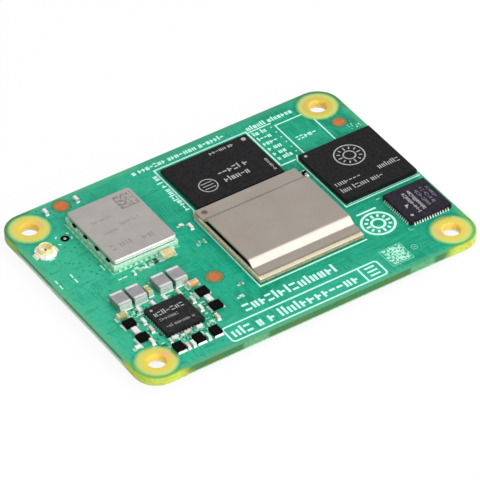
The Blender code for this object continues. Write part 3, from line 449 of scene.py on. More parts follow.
# for each: its name in the file, a light and a dark tone, the size of the patches and of the grain,
# the relief's depth, the roughness, and where they differ from 0 and 0.5 the metal and the reflection
M = {name: mottled(*row) for name, row in {
    "print": ("printed_white", (206, 252, 238), (192, 243, 227), 0.8, 0.1, 0.003, 0.5),
    "ridge": ("mask_over_trace", (38, 168, 132), (22, 154, 118), 1.0, 0.2, 0.002, 0.32, 0.0, DULL),
    "hollow": ("mask_shade", (10, 128, 98), (4, 112, 86), 1.0, 0.2, 0.002, 0.36, 0.0, DULL),
    "opening": ("bare_laminate", (126, 122, 68), (98, 106, 62), 0.5, 0.12, 0.003, 0.5),
    "copper": ("bare_copper", (208, 112, 44), (184, 90, 44), 0.7, 0.1, 0.003, 0.4, 0.25),
    "ring": ("snap_ring", (246, 238, 186), (230, 220, 150), 0.6, 0.08, 0.002, 0.34, 0.35),
    "tin": ("tin_plate", (224, 230, 225), (198, 206, 200), 0.3, 0.07, 0.004, 0.3, 0.4),
    "solder": ("solder", (228, 238, 232), (190, 204, 196), 0.25, 0.06, 0.004, 0.28, 0.5),
    "mould": ("mould_compound", (30, 28, 31), (9, 9, 10), 0.45, 0.07, 0.006, 0.5, 0.0, 0.1),
    "mark": ("laser_mark", (180, 177, 178), (152, 149, 151), 0.5, 0.08, 0.002, 0.7),
    "faint": ("faint_mark", (128, 120, 132), (98, 92, 104), 0.5, 0.08, 0.002, 0.7),
    "can_mark": ("can_mark", (150, 138, 134), (128, 118, 115), 0.6, 0.1, 0.002, 0.6, 0.6),
    "can_faint": ("can_faint", (156, 149, 146), (143, 137, 134), 0.6, 0.1, 0.002, 0.6, 0.6),
    "seam": ("seam_shade", (46, 58, 50), (22, 32, 26), 0.4, 0.1, 0.003, 0.6, 0.0, DULL),
    "castellation": ("castellation", (190, 232, 208), (148, 204, 174), 0.3, 0.08, 0.003, 0.34, 0.2),
    "adhesive": ("adhesive", (66, 62, 58), (48, 46, 44), 0.4, 0.1, 0.01, 0.6),
    "silicon": ("silicon", (82, 84, 94), (64, 66, 76), 2.0, 0.2, 0.001, 0.22, 0.5),
    "thermal": ("thermal_pad", (200, 204, 208), (176, 182, 190), 0.5, 0.1, 0.01, 0.7),
    "nylon": ("white_plastic", (252, 244, 241), (240, 232, 230), 0.6, 0.1, 0.003, 0.36),
    "ferrite": ("ferrite", (16, 15, 15), (5, 6, 6), 0.4, 0.06, 0.008, 0.6, 0.0, 0.03),
    "tan": ("ceramic_tan", (226, 208, 150), (204, 182, 124), 0.4, 0.08, 0.003, 0.42),
    "orange": ("ceramic_orange", (232, 184, 122), (206, 158, 96), 0.4, 0.08, 0.003, 0.42),
    "plug": ("inductor_terminal", (216, 221, 216), (194, 200, 195), 0.3, 0.07, 0.003, 0.4, 0.2),
    "resin": ("resistor_body", (52, 92, 76), (34, 66, 56), 0.3, 0.08, 0.003, 0.42, 0.0, DULL),
    "olive": ("ceramic_olive", (190, 182, 112), (160, 152, 92), 0.4, 0.08, 0.003, 0.42),
    "pale": ("ceramic_pale", (236, 236, 230), (212, 218, 210), 0.3, 0.08, 0.003, 0.42),
    "blush": ("ceramic_blush", (244, 232, 238), (222, 212, 218), 0.3, 0.08, 0.003, 0.42),
    "mint": ("mint_solder", (196, 240, 216), (150, 210, 182), 0.3, 0.08, 0.003, 0.34, 0.2),
    "foot": ("wetted_mask", (136, 224, 184), (104, 196, 154), 0.5, 0.1, 0.003, 0.4, 0.0, DULL),
    "mint_print": ("printed_mint", (136, 216, 178), (104, 190, 152), 0.6, 0.1, 0.003, 0.5),
    "pin": ("contact_brown", (158, 130, 68), (136, 108, 54), 0.3, 0.08, 0.002, 0.36, 0.5),
    "lid_shade": ("lid_shade", (112, 104, 96), (92, 86, 80), 0.3, 0.08, 0.002, 0.5, 0.5),
    "mould_net": ("mould_violet", (44, 38, 51), (22, 18, 27), 0.45, 0.07, 0.006, 0.5, 0.0, 0.1),
    "mould_power": ("mould_slate", (42, 41, 41), (18, 18, 19), 0.45, 0.07, 0.006, 0.5, 0.0, 0.1),
    "soft_mark": ("soft_mark", (158, 156, 160), (124, 122, 128), 0.5, 0.08, 0.002, 0.7),
    "code_print": ("code_print", (182, 238, 216), (160, 222, 198), 0.6, 0.1, 0.003, 0.5),
    "sand": ("ceramic_sand", (222, 206, 186), (196, 180, 160), 0.3, 0.08, 0.003, 0.42),
    # painted shade, for the dark patches among the power pads
    "painted_shade_patch": ("painted_shade_patch", (8, 104, 76), (4, 78, 58), 0.4, 0.1, 0.003, 0.4, 0.0, DULL),
}.items()}
M.update(
    board=board_material(),
    pad=pad_material(),
    barrel=barrel_material(),
    can=can_material(),
    carrier=carrier_material(),
    lid=lid_material(),
    inductor=inductor_material(),
    header=header_material(),
)


# Geometry


class Shape:
    """Gathers closed forms in millimetres, each face with its material's number."""

    def __init__(self):
        self.bm = bmesh.new()

    def loop(self, points):
        return [self.bm.verts.new(point) for point in points]

    def face(self, verts, material=0):
        self.bm.faces.new(verts).material_index = material

    def skin(self, first, second, material=0):
        """A band between two loops. material is one number, or a list of one for each of its faces."""
        for k, vert in enumerate(first):
            n = (k + 1) % len(first)
            number = material[k] if isinstance(material, list) else material
            self.face((vert, first[n], second[n], second[k]), number)

    def tube(self, loops, material=0):
        """A closed form through the loops, with a flat face at either end."""
        self.face(loops[0][::-1], material)
        self.face(loops[-1], material)
        for first, second in zip(loops, loops[1:]):
            self.skin(first, second, material)

    def ring(self, loops, material=0):
        """A form that runs through the loops and back to the first."""
        for i, loop in enumerate(loops):
            self.skin(loop, loops[(i + 1) % len(loops)], material)

    def box(self, x, y, z, material=0, bevel=0.0, segments=2):
        """A box between three (low, high) pairs, its edges rounded by bevel."""
        size = [high - low for low, high in (x, y, z)]
        middle = [(high + low) / 2 for low, high in (x, y, z)]
        place = Matrix.Translation(middle) @ Matrix.Diagonal((*size, 1.0))
        verts = bmesh.ops.create_cube(self.bm, size=1.0, matrix=place)["verts"]
        for face in dict.fromkeys(face for vert in verts for face in vert.link_faces):
            face.material_index = material
        if bevel:
            edges = list(dict.fromkeys(edge for vert in verts for edge in vert.link_edges))
            bmesh.ops.bevel(
                self.bm, geom=edges, offset=bevel, segments=segments, profile=0.5, affect="EDGES"
            )

    def prism(self, outline, low, high, material=0):
        """An outline of (x, y) points, raised between two heights."""
        self.tube([self.loop((x, y, z) for x, y in outline) for z in (low, high)], material)

    def disc(self, x, y, radius, low, high, material=0, segments=32):
        self.prism(circle(x, y, radius, segments), low, high, material)

    def stroke(self, points, width, low, high, material=0, closed=False):
        """A line of this width through (x, y) points, raised between two heights."""
        path = [Vector(point) for point in points]
        count = len(path)
        rows = []
        for i, point in enumerate(path):
            # directions of the stretch that ends here and of the one that starts here
            ways = []
            if closed or i:
                ways.append((point - path[i - 1]).normalized())
            if closed or i < count - 1:
                ways.append((path[(i + 1) % count] - point).normalized())
            sides = [Vector((-way.y, way.x)) for way in ways]
            side = sum(sides, Vector((0.0, 0.0))).normalized()
            reach = width / 2 / max(side.dot(sides[0]), 0.35)
            rows.append((point + side * reach, point - side * reach))
        rings = [
            self.loop((*flat, z) for flat, z in ((a, low), (b, low), (b, high), (a, high)))
            for a, b in rows
        ]
        (self.ring if closed else self.tube)(rings, material)

    def revolve(self, x, y, profile, material=0, segments=64):
        """A closed profile of (radius, height) points, turned round the upright line at (x, y)."""
        rings = []
        for step in range(segments):
            turn = math.tau * step / segments
            c, s = math.cos(turn), math.sin(turn)
            rings.append(self.loop((x + r * c, y + r * s, z) for r, z in profile))
        self.ring(rings, material)

    def dome(self, x, y, radius, low, height, material=0, segments=16, rings=4):
        """A low round cap on a flat surface."""
        rows = []
        for ring in range(rings):
            angle = QUARTER * ring / rings
            r, z = radius * math.cos(angle), low + height * math.sin(angle)
            rows.append(self.loop((*point, z) for point in circle(x, y, r, segments)))
        self.face(rows[0][::-1], material)
        for first, second in zip(rows, rows[1:]):
            self.skin(first, second, material)
        peak = self.bm.verts.new((x, y, low + height))
        for k, vert in enumerate(rows[-1]):
            self.face((vert, rows[-1][(k + 1) % segments], peak), material)

    def wedge(self, x, y, low, high, reach, half, way, material=0, steps=4):
        """Solder that climbs a terminal: it runs from (x, y) outwards along way, hollow in profile."""
        out = Vector(way)
        side = Vector((-out.y, out.x))
        start = Vector((x, y))
        thinnest = low + 0.012
        rows = []
        for step in range(steps + 1):
            share = step / steps
            z = max(low + (high - low) * (1.0 - share) ** 2.2, thinnest)
            spread = half * (1.0 + 0.12 * share)
            spot = start + out * reach * share
            rows.append(self.loop(
                (*(spot + side * sign * spread), level)
                for sign, level in ((1, low), (-1, low), (-1, z), (1, z))
            ))
        self.tube(rows, material)

    def piece(self, name, materials, slot, stands_for=(), smooth=35.0, matrix=None):
        """Makes the object, which rides with the module, and hides the CAD nodes it stands for."""
        if matrix is not None:
            bmesh.ops.transform(self.bm, matrix=matrix, verts=self.bm.verts)
        bmesh.ops.recalc_face_normals(self.bm, faces=self.bm.faces)
        bmesh.ops.scale(self.bm, vec=(MM, MM, MM), verts=self.bm.verts)
        mesh = bpy.data.meshes.new(name)
        self.bm.to_mesh(mesh)
        self.bm.free()
        for material in materials:
            mesh.materials.append(M[material])
        obj = bpy.data.objects.new(name, mesh)
        bpy.context.scene.collection.objects.link(obj)
        if smooth:
            mesh.polygons.foreach_set("use_smooth", [True] * len(mesh.polygons))
            mesh.set_sharp_from_angle(angle=math.radians(smooth))
            weighted = obj.modifiers.new("even_flats", "WEIGHTED_NORMAL")
            weighted.keep_sharp = True
        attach(obj, "root")
        if stands_for:
            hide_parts(*stands_for)


def arc(x, y, radius, start, end, steps):
    """Points of an arc round (x, y), with both of its ends."""
    turns = [start + (end - start) * step / steps for step in range(steps + 1)]
    return [(x + radius * math.cos(turn), y + radius * math.sin(turn)) for turn in turns]


def circle(x, y, radius, steps):
    return arc(x, y, radius, 0.0, math.tau, steps)[:-1]


def dress(material, *nodes):
    """Gives CAD nodes a material of this scene."""
    for node in nodes:
        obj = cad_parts[node]
        for slot in obj.material_slots:
            slot.material = M[material]


# Camera, light and stage


def make_camera():
    """The photo's view, round the middle of the board's top. Angles are in radians, focal in pixels."""
    azimuth, elevation, roll = -0.561957655, 0.704484882, -0.0251236723
    distance, shift_x, shift_y = 594.714056, 0.0194847675, -1.44625846
    focal = 4309.87954
    back = Vector((
        math.sin(azimuth) * math.cos(elevation),
        -math.cos(azimuth) * math.cos(elevation),
        math.sin(elevation),
    ))
    right = Vector((0.0, 0.0, 1.0)).cross(back).normalized()
    up = back.cross(right)
    across = right * math.cos(roll) + up * math.sin(roll)
    upwards = up * math.cos(roll) - right * math.sin(roll)
    spot = Vector((0.0, 0.0, TOP)) + back * distance + across * shift_x + upwards * shift_y
    camera = bpy.data.cameras.new("camera")
    camera.sensor_width = 36.0
    camera.lens = focal / PHOTO_SIDE * camera.sensor_width
    camera.clip_start = 0.01
    camera.clip_end = 20.0
    obj = bpy.data.objects.new("camera", camera)
    bpy.context.scene.collection.objects.link(obj)
    columns = (across, upwards, back, spot * MM)
    obj.matrix_world = Matrix([[column[i] for column in columns] for i in range(3)] + [[0, 0, 0, 1]])
    bpy.context.scene.camera = obj


def add_lamp(name, spot, size, power):
    lamp = bpy.data.lights.new(name, "AREA")
    lamp.shape = "DISK"
    lamp.size = size
    lamp.energy = power
    obj = bpy.data.objects.new(name, lamp)
    obj.location = spot
    obj.rotation_euler = Vector(spot).to_track_quat("Z", "Y").to_euler()
    bpy.context.scene.collection.objects.link(obj)


def make_light():
    """Plain studio light: a white room for the eye and for reflections, softer for matt surfaces."""
    add_lamp("key", (0.17, -0.17, 0.35), 0.42, 1.0)
    add_lamp("front", (0.02, -0.4, 0.16), 0.3, 1.0)
    add_lamp("fill", (-0.36, -0.08, 0.2), 0.3, 0.12)
    world = bpy.data.worlds.new("studio")
    bpy.context.scene.world = world
    world.use_nodes = True
    graph = Graph(world.node_tree)
    rays = graph.node("ShaderNodeLightPath").outputs
    seen = graph.maths("MAXIMUM", rays["Is Camera Ray"], rays["Is Glossy Ray"])
    seen = graph.maths("MAXIMUM", seen, rays["Is Transmission Ray"])
    level = graph.feed(graph.node("ShaderNodeMapRange"), seen, 0.0, 1.0, 0.55, 1.0)
    graph.feed(graph.tree.nodes["Background"], (1.0, 1.0, 1.0, 1.0), level)


def make_floor():
    bm = bmesh.new()
    bmesh.ops.create_grid(bm, x_segments=1, y_segments=1, size=1.5)
    mesh = bpy.data.meshes.new("floor")
    bm.to_mesh(mesh)
    bm.free()
    floor = bpy.data.objects.new("floor", mesh)
    floor.location.z = -0.02 * MM
    bpy.context.scene.collection.objects.link(floor)
    white = (0.94, 0.94, 0.94, 1.0)
    made = Surface("floor_white", roughness=0.9, Base_Color=white, Specular_IOR_Level=0.0)
    # the camera sees the ground mostly as plain white
    share = made.maths("MULTIPLY", made.node("ShaderNodeLightPath").outputs["Is Camera Ray"], 0.92)
    plain = made.node("ShaderNodeEmission").outputs[0]
    mixed = made.feed(made.node("ShaderNodeMixShader"), share, made.shader.outputs[0], plain)
    made.plug(mixed, made.tree.nodes["Material Output"].inputs["Surface"])
    mesh.materials.append(made.material)


# Board


def routed(start, *steps):
    """A trace's corner points, from a start and (dx, dy) steps."""
    points = [start]
    for dx, dy in steps:
        points.append((points[-1][0] + dx, points[-1][1] + dy))
    return points


def make_traces():
    """Traces under the mask, seen as low ridges with round ends, and vias scattered over the free board.
    """
    shape = Shape()
    top = TOP + 0.006
    bundles = (
        # from the processor to the wireless module
        ((-5.0, -3.4), 0.42, 7, ((-1.6, 0.0), (-1.8, 1.8), (-0.6, 0.0))),
        # along the board's left part
        ((-26.0, -1.2), 0.4, 5, ((2.4, 0.0), (1.4, 1.4), (2.2, 0.0))),
        ((-25.8, -9.4), 0.4, 4, ((1.1, 0.0), (0.5, 0.5), (0.0, 1.5))),
        # between the power stage and the processor
        ((-9.6, -10.6), 0.4, 5, ((1.4, 0.0), (1.5, 1.5), (1.2, 0.0))),
        # between the processor and the network chip
        ((14.0, -10.9), 0.36, 4, ((1.2, 0.0), (0.9, -0.9), (2.2, 0.0))),
        # behind the wireless module and the memory
        ((-13.0, 16.4), 0.38, 5, ((3.2, 0.0), (1.2, 1.2), (2.4, 0.0))),
        ((-7.6, 7.2), 0.4, 6, ((0.0, 3.0), (1.0, 1.0), (0.0, 2.4))),
        # round the table
        ((17.4, 9.6), 0.36, 5, ((1.0, 0.0), (0.8, 0.8), (1.6, 0.0))),
    )
    for (x, y), pitch, count, steps in bundles:
        leaning_up = steps[0][0] == 0.0
        for index in range(count):
            shift = index * pitch
            start = (x + shift, y - 0.4 * shift) if leaning_up else (x - 0.4 * shift, y + shift)
            path = routed(start, *steps)
            shape.stroke(path, 0.14, TOP, top)
            for spot in (path[0], path[-1]):
                shape.disc(*spot, 0.17, TOP, top + 0.003, 0, 12)
    shape.piece("mask_traces", ["ridge"], "solder_mask", smooth=0)

    draw = random.Random(5)
    vias = Shape()
    # low and high x, low and high y of the places that hold parts or print
    blocked = [
        (-3.9, 13.2, -11.4, 6.0), (-2.8, 12.0, 6.2, 16.6), (14.8, 27.2, -4.4, 8.6),
        (19.5, 27.2, -13.4, -5.4), (-19.6, -8.4, 1.5, 15.0), (-26.6, -9.8, -18.0, -1.6),
        (-13.6, 12.0, -19.3, -12.6), (12.4, 22.4, 8.2, 18.4), (13.8, 19.2, -13.4, -5.8),
        (12.7, 17.0, -18.8, -14.4), (-26.8, -22.6, 8.6, 13.0),
    ]
    count, from_screws, apart, grid = 190, 3.6, 0.55, 0.4
    spots = []
    while len(spots) < count:
        x, y = draw.uniform(-26.6, 26.6), draw.uniform(-19.1, 19.1)
        if any(a < x < b and c < y < d for a, b, c, d in blocked):
            continue
        if any(math.hypot(x - hx, y - hy) < from_screws for hx, hy in HOLES):
            continue
        if any(math.hypot(x - sx, y - sy) < apart for sx, sy in spots):
            continue
        spots.append((round(x / grid) * grid, round(y / grid) * grid))
    for x, y in spots:
        vias.revolve(x, y, [(0.1, TOP), (0.21, TOP), (0.21, TOP + 0.008), (0.1, TOP + 0.008)], 0, 14)
        vias.disc(x, y, 0.1, TOP, TOP + 0.002, 1, 10)
    vias.piece("vias", ["ridge", "hollow"], "solder_mask", smooth=0)


def make_position_marks():
    """Three round copper marks in their mask openings, and the flat round test pad."""
    marks = Shape()
    for x, y, radius, edge in (
        (-17.75, 18.3, 0.94, 1.28), (-8.3, -6.35, 0.81, 1.28), (24.55, 11.87, 0.74, 1.08),
    ):
        marks.disc(x, y, edge + 0.14, TOP, TOP + 0.002, 2, 40)
        marks.disc(x, y, edge, TOP + 0.002, TOP + 0.005, 0, 40)
        marks.dome(x, y, radius, TOP + 0.005, 0.03, 1, 32, 3)
    marks.piece("position_marks", ["opening", "copper", "hollow"], "gold")

    pad = Shape()
    x, y = -20.95, 12.0
    face, raised = TOP + MARK, TOP + 0.03
    pad.disc(x, y, 0.66, TOP, face, 0, 32)
    pad.revolve(x, y, [(0.09, face), (0.2, face), (0.18, raised), (0.11, raised)], 1, 24)
    pad.piece("test_pad", ["ferrite", "pale"], "gold")


def make_screw_pads():
    """The four plated holes, with rounded lips."""
    bore, barrel, rim, lip = 1.35, 1.47, 2.92, 0.05
    upper, lower = TOP + lip, UNDERSIDE - lip
    profile = [
        (bore, lower + 0.03), (bore + 0.03, lower), (rim - 0.03, lower), (rim, lower + 0.03),
        (rim, UNDERSIDE), (barrel, UNDERSIDE), (barrel, TOP), (rim, TOP),
        (rim, upper - 0.02), (rim - 0.04, upper), (bore + 0.08, upper), (bore + 0.02, upper - 0.02),
        (bore, upper - 0.08),
    ]
    for row, y in (("front", -HOLE_Y), ("back", HOLE_Y)):
        for side, x in (("left", -HOLE_X), ("right", HOLE_X)):
            shape = Shape()
            shape.revolve(x, y, profile, [1] + [0] * 10 + [1, 1], 96)
            shape.piece(
                f"plated_hole_{row}_{side}", ["pad", "barrel"], "gold", [f"screw_pad_{row}_{side}"]
            )


# Printing


def tick_row(
    shape, x, y, length, height, turn=0.0, seed=1, weight=0.2, low=TOP, thick=PRINT, material=0
):
    """A row of plain ticks and dashes in a place that the real part gives to words.

    It starts at (x, y), its lower left corner, and runs along the direction of turn.
    """
    draw = random.Random(seed)
    c, s = math.cos(turn), math.sin(turn)
    along = 0.0

    def bar(left, bottom, right, top):
        points = ((left, bottom), (right, bottom), (right, top), (left, top))
        outline = [(x + u * c - v * s, y + u * s + v * c) for u, v in points]
        shape.prism(outline, low, low + thick, material)

    stroke = weight * height
    while along < length - 0.5 * height:
        kind = draw.choice(("tall", "low", "low", "pair", "step", "dash", "low"))
        width = height * draw.uniform(0.42, 0.62)
        if kind == "tall":
            bar(along, 0.0, along + stroke, height)
            width = stroke
        elif kind == "low":
            bar(along, 0.0, along + stroke, 0.72 * height)
            bar(along + width - stroke, 0.0, along + width, 0.72 * height)
        elif kind == "pair":
            bar(along, 0.0, along + width, stroke)
            bar(along, 0.62 * height, along + width, 0.62 * height + stroke)
        elif kind == "step":
            bar(along, 0.0, along + stroke, 0.72 * height)
            bar(along + stroke, 0.3 * height, along + width, 0.3 * height + stroke)
        else:
            bar(along, 0.32 * height, along + width, 0.32 * height + stroke)
        along += width + height * (0.18 if draw.random() > 0.14 else 0.55)


def code_square(shape, x, y, width, height, columns, rows, low, thick, material=0):
    """A square code with no content: its cells follow a plain rule."""
    cell_x, cell_y = width / columns, height / rows
    for i in range(columns):
        for j in range(rows):
            edge = i == 0 or j == 0 or (i == columns - 1 and j % 2) or (j == rows - 1 and i % 2)
            if edge or (3 * i * i + 5 * j * j + 7 * i * j + i // 2) % 11 < 5:
                u, v = x + i * cell_x, y + j * cell_y
                outline = [(u, v), (u + cell_x, v), (u + cell_x, v + cell_y), (u, v + cell_y)]
                shape.prism(outline, low, low + thick, material)


def dial(shape, x, y, radius, width, low, thick):
    """A plain dial of ticks, for a place where the real part carries its maker's sign."""
    shape.stroke(circle(x, y, radius, 48), width, low, low + thick, closed=True)
    shape.stroke(circle(x, y, 0.4 * radius, 28), width, low, low + thick, closed=True)
    for step in range(12):
        turn = math.tau * step / 12
        inner, outer = (0.6 if step % 3 else 0.52) * radius, 0.82 * radius
        ends = [(x + r * math.cos(turn), y + r * math.sin(turn)) for r in (inner, outer)]
        shape.stroke(ends, width, low, low + thick)


def make_printing():
    high = TOP + PRINT
    lines = Shape()
    # each row holds a width and the points of its line
    for width, *points in (
        # round the processor and the memory
        (0.24, (13.3, -11.62), (-4.24, -11.62), (-3.98, 5.3), (-3.02, 7.0), (-3.02, 17.45),
         (12.35, 17.45), (12.35, 8.4)),
        # round the controller on the right
        (0.22, (15.5, 9.1), (14.85, 7.9), (14.85, -4.3), (27.3, -4.3)),
        (0.08, (15.3, -3.98), (27.2, -3.98)),
        (0.24, (12.35, 8.35), (14.85, 8.35)),
        # the table behind the processor
        (0.2, (16.6, 8.9), (16.6, 16.3), (21.5, 16.3)),
        (0.2, (22.0, 9.0), (22.0, 14.4)),
        (0.2, (12.6, 17.1), (16.4, 17.1)),
        # short dashes on the left
        (0.2, (-26.7, 3.1), (-26.7, 4.0)), (0.2, (-26.7, 4.35), (-26.7, 5.15)),
        (0.2, (-24.3, 3.1), (-24.3, 4.0)), (0.2, (-24.3, 4.35), (-24.3, 5.15)),
        (0.16, (-19.9, 3.2), (-19.9, 4.4)),
        (0.2, (-19.5, 0.4), (-18.9, 0.4)), (0.2, (-18.75, 0.42), (-18.1, 0.42)),
    ):
        lines.stroke(points, width, TOP, high)
    # an angle beside the network chip
    lines.stroke([(19.3, -12.9), (19.3, -13.45), (19.9, -13.45)], 0.14, TOP, TOP + THIN_PRINT, 1)
    # four dashes round the test pad
    for x, y, turn in ((-20.1, 12.8, 2.3), (-20.05, 11.65, 1.2), (-22.2, 11.3, 2.2), (-21.9, 12.85, 0.8)):
        u, v = 0.24 * math.cos(turn), 0.24 * math.sin(turn)
        lines.stroke([(x - u, y - v), (x + u, y + v)], 0.18, TOP, high)
    # the frame round the second title
    lines.stroke(rounded_outline(-0.85, -17.55, 12.55, 1.55, 0.5, 4), 0.26, TOP, high, closed=True)
    lines.stroke([(8.6, -18.95), (8.6, -16.15)], 0.26, TOP, high)
    # round the wireless module, in a thinner print that lets the mask through
    lines.stroke([(-19.42, 14.7), (-19.42, 1.72), (-8.7, 1.72)], 0.2, TOP, TOP + THIN_PRINT, 1)
    lines.piece("printed_lines", ["print", "mint_print"], "solder_mask", smooth=0)

    titles = Shape()
    for x, y, length, seed in ((-8.6, -14.85, 15.5, 11), (-12.7, -18.4, 20.6, 23)):
        tick_row(titles, x, y, length, 1.75, seed=seed, weight=0.21)
    for y in (-18.3, -17.5, -16.7):
        titles.stroke([(9.35, y), (10.95, y)], 0.3, TOP, high)
    titles.piece("printed_titles", ["print"], "solder_mask", smooth=0)

    small = Shape()
    for x, y, length, turn, seed, weight in (
        (-6.0, 18.1, 15.6, 0.0, 3, 0.24), (-3.3, 7.6, 9.3, QUARTER, 5, 0.25),
        (12.7, 17.4, 8.0, 0.0, 7, 0.25),
    ):
        tick_row(small, x, y, length, 0.95, turn, seed, weight)
    for index, y in enumerate((15.9, 14.6, 13.3, 12.0, 10.7, 9.5)):
        tick_row(small, 12.85, y, 2.5, 0.88, seed=31 + index, weight=0.25)
        small.disc(15.95, y + 0.4, 0.17, TOP, high, 1, 4)
    tick_row(small, 17.5, 11.7, 3.4, 0.95, seed=41, weight=0.22)
    # a loose group of dots at the right edge
    draw = random.Random(12)
    for row in range(3):
        for column in range(4):
            if draw.random() < 0.2:
                continue
            x = 25.2 + 0.48 * column + draw.uniform(-0.1, 0.1)
            y = 9.5 + 0.55 * row + draw.uniform(-0.1, 0.1)
            small.disc(x, y, draw.uniform(0.07, 0.14), TOP, high, 0, 10)
    small.stroke(circle(17.75, -16.6, 0.45, 24), 0.1, TOP, high, 2, True)
    small.stroke([(17.5, -16.6), (18.0, -16.6)], 0.12, TOP, high, 2)
    small.stroke([(19.15, -5.35), (19.75, -5.35)], 0.16, TOP, high, 1)
    small.piece("printed_marks", ["print", "mint", "mint_print"], "solder_mask", smooth=0)

    signs = Shape()
    dial(signs, 16.5, -9.7, 2.36, 0.36, TOP, PRINT)
    signs.stroke([(14.9, -6.7), (18.1, -6.7)], 0.3, TOP, high)
    signs.piece("printed_dial", ["print"], "solder_mask", smooth=0)

    code = Shape()
    ground = TOP + 0.008
    code.prism([(13.0, -18.4), (16.55, -18.4), (16.55, -14.7), (13.0, -14.7)], TOP, ground, 0)
    code_square(code, 13.05, -18.35, 3.45, 3.6, 18, 18, ground, MARK, 1)
    code.piece("printed_code", ["code_print", "ridge"], "solder_mask", smooth=0)


# Chips


def make_ball_chip(node, name, corner_dot, rows):
    """A moulded package on its solder balls, with plain marks on top."""
    pitch, deepest = 0.8, 2
    low, high = corners(node)
    foot, face = low[2] + 0.2, high[2]
    shape = Shape()
    shape.box((low[0], high[0]), (low[1], high[1]), (foot, face), 0, 0.06)
    x, y, _, _ = centre(low, high)
    columns, lines = (int((high[axis] - low[axis] - 1.5) / pitch) + 1 for axis in (0, 1))
    ball = [(0.0001, low[2]), (0.15, low[2]), (0.21, low[2] + 0.1), (0.15, foot), (0.0001, foot)]
    for i in range(columns):
        for j in range(lines):
            # only the three outermost rings of balls can be seen
            if deepest < i < columns - 1 - deepest and deepest < j < lines - 1 - deepest:
                continue
            shape.revolve(
                x + (i - (columns - 1) / 2) * pitch, y + (j - (lines - 1) / 2) * pitch, ball, 1, 8
            )
    shape.piece(name, ["mould", "solder"], "mould", [node])
    marks = Shape()
    marks.disc(*corner_dot, face, face + MARK, 0, 28)
    for *place, turn, seed, weight in rows:
        tick_row(marks, *place, turn, seed, weight, face, MARK)
    return marks, face


def make_processor_side():
    low, high = corners("processor_substrate")
    M["substrate"] = substrate_material(low, high)
    dress("substrate", "processor_substrate")
    dress("lid", "processor_lid")
    dress("adhesive", "lid_adhesive_front", "lid_adhesive_back")
    dress("silicon", "processor_die")
    dress("thermal", "thermal_pad")
    # a gold corner mark on the substrate's rim
    shape = Shape()
    x, y = low[0] + 0.45, high[1] - 0.45
    shape.prism([(x, y), (x + 0.5, y), (x, y - 0.5)], high[2], high[2] + 0.01)
    shape.piece("substrate_mark", ["orange"], "gold", smooth=0)
    # the dark rim of the round punch mark in the lid's corner, a flat ring of painted shade for its sloped
    # wall
    low, high = corners("processor_lid")
    face = high[2] - 0.8
    shape = Shape()
    shape.stroke(circle(low[0] + 1.0, high[1] - 1.0, 0.34, 28), 0.26, face, face + MARK, 0, True)
    shape.piece("lid_mark", ["lid_shade"], "nickel", smooth=0)


def make_chips():
    marks, face = make_ball_chip("memory_chip", "memory_package", (10.75, 15.55, 0.36), (
        (4.9, 15.1, 4.3, 0.75, 0.0, 101, 0.19), (3.6, 10.6, 4.8, 1.1, 0.0, 103, 0.2),
        (3.6, 8.9, 4.4, 1.1, 0.0, 105, 0.2), (11.1, 7.4, 3.0, 0.6, QUARTER, 107, 0.19),
    ))
    marks.stroke(circle(1.1, 9.7, 1.35, 40), 0.16, face, face + MARK, 0, True)
    for step in range(3):
        y = 9.1 + 0.6 * step
        marks.stroke([(0.2, y), (2.0, y)], 0.14, face, face + MARK)
    marks.piece("memory_marks", ["mark"], "mould", smooth=0)

    marks, face = make_ball_chip("io_controller", "controller_package", (15.75, 7.2, 0.24), (
        (15.6, -0.9, 4.6, 1.0, 0.0, 111, 0.16), (15.6, -2.5, 7.2, 1.0, 0.0, 113, 0.16),
        (22.8, -0.9, 3.6, 1.0, 0.0, 117, 0.16),
    ))
    dial(marks, 21.0, 4.0, 2.2, 0.2, face, MARK)
    marks.piece("controller_marks", ["mark"], "mould", smooth=0)


def make_leaded_chip(node, name, count, pitch, reach, inset=0.07, climb=0.2, mould="mould"):
    """A flat moulded package with its leads and the soldered pads that they stand on."""
    low, high = corners(node)
    x, y, half, _ = centre(low, high)
    half -= inset
    bottom, toe = low[2] + 0.03, half + 0.06
    shape = Shape()
    shape.box(around(x, half), around(y, half), (low[2] + 0.02, high[2]), 0, 0.04)
    for index in range(count):
        place = (index - (count - 1) / 2) * pitch
        for sign in (-1, 1):
            lead = (around(place, 0.08), span(0.0, sign, half - 0.3, toe))
            flat = (around(place, 0.1), span(0.0, sign, half - 0.2, half + reach))
            way, foot = (0, sign), (place, sign * toe)
            for step in (1, -1):
                # first the leads of the front and the back, then those of the left and the right
                forms = ((lead, (bottom, low[2] + climb), 1), (flat, (low[2], low[2] + 0.035), 2))
                for sides, z, material in forms:
                    across, along = sides[::step]
                    shape.box(tuple(x + v for v in across), tuple(y + v for v in along), z, material)
                u, v = foot[::step]
                shape.wedge(
                    x + u, y + v, bottom, low[2] + 0.9 * climb, max(reach - 0.1, 0.04), 0.09, way[::step],
                    2, 3,
                )
    shape.piece(name, [mould, "tin", "solder"], "mould", [node])
    return x, y, high[2]


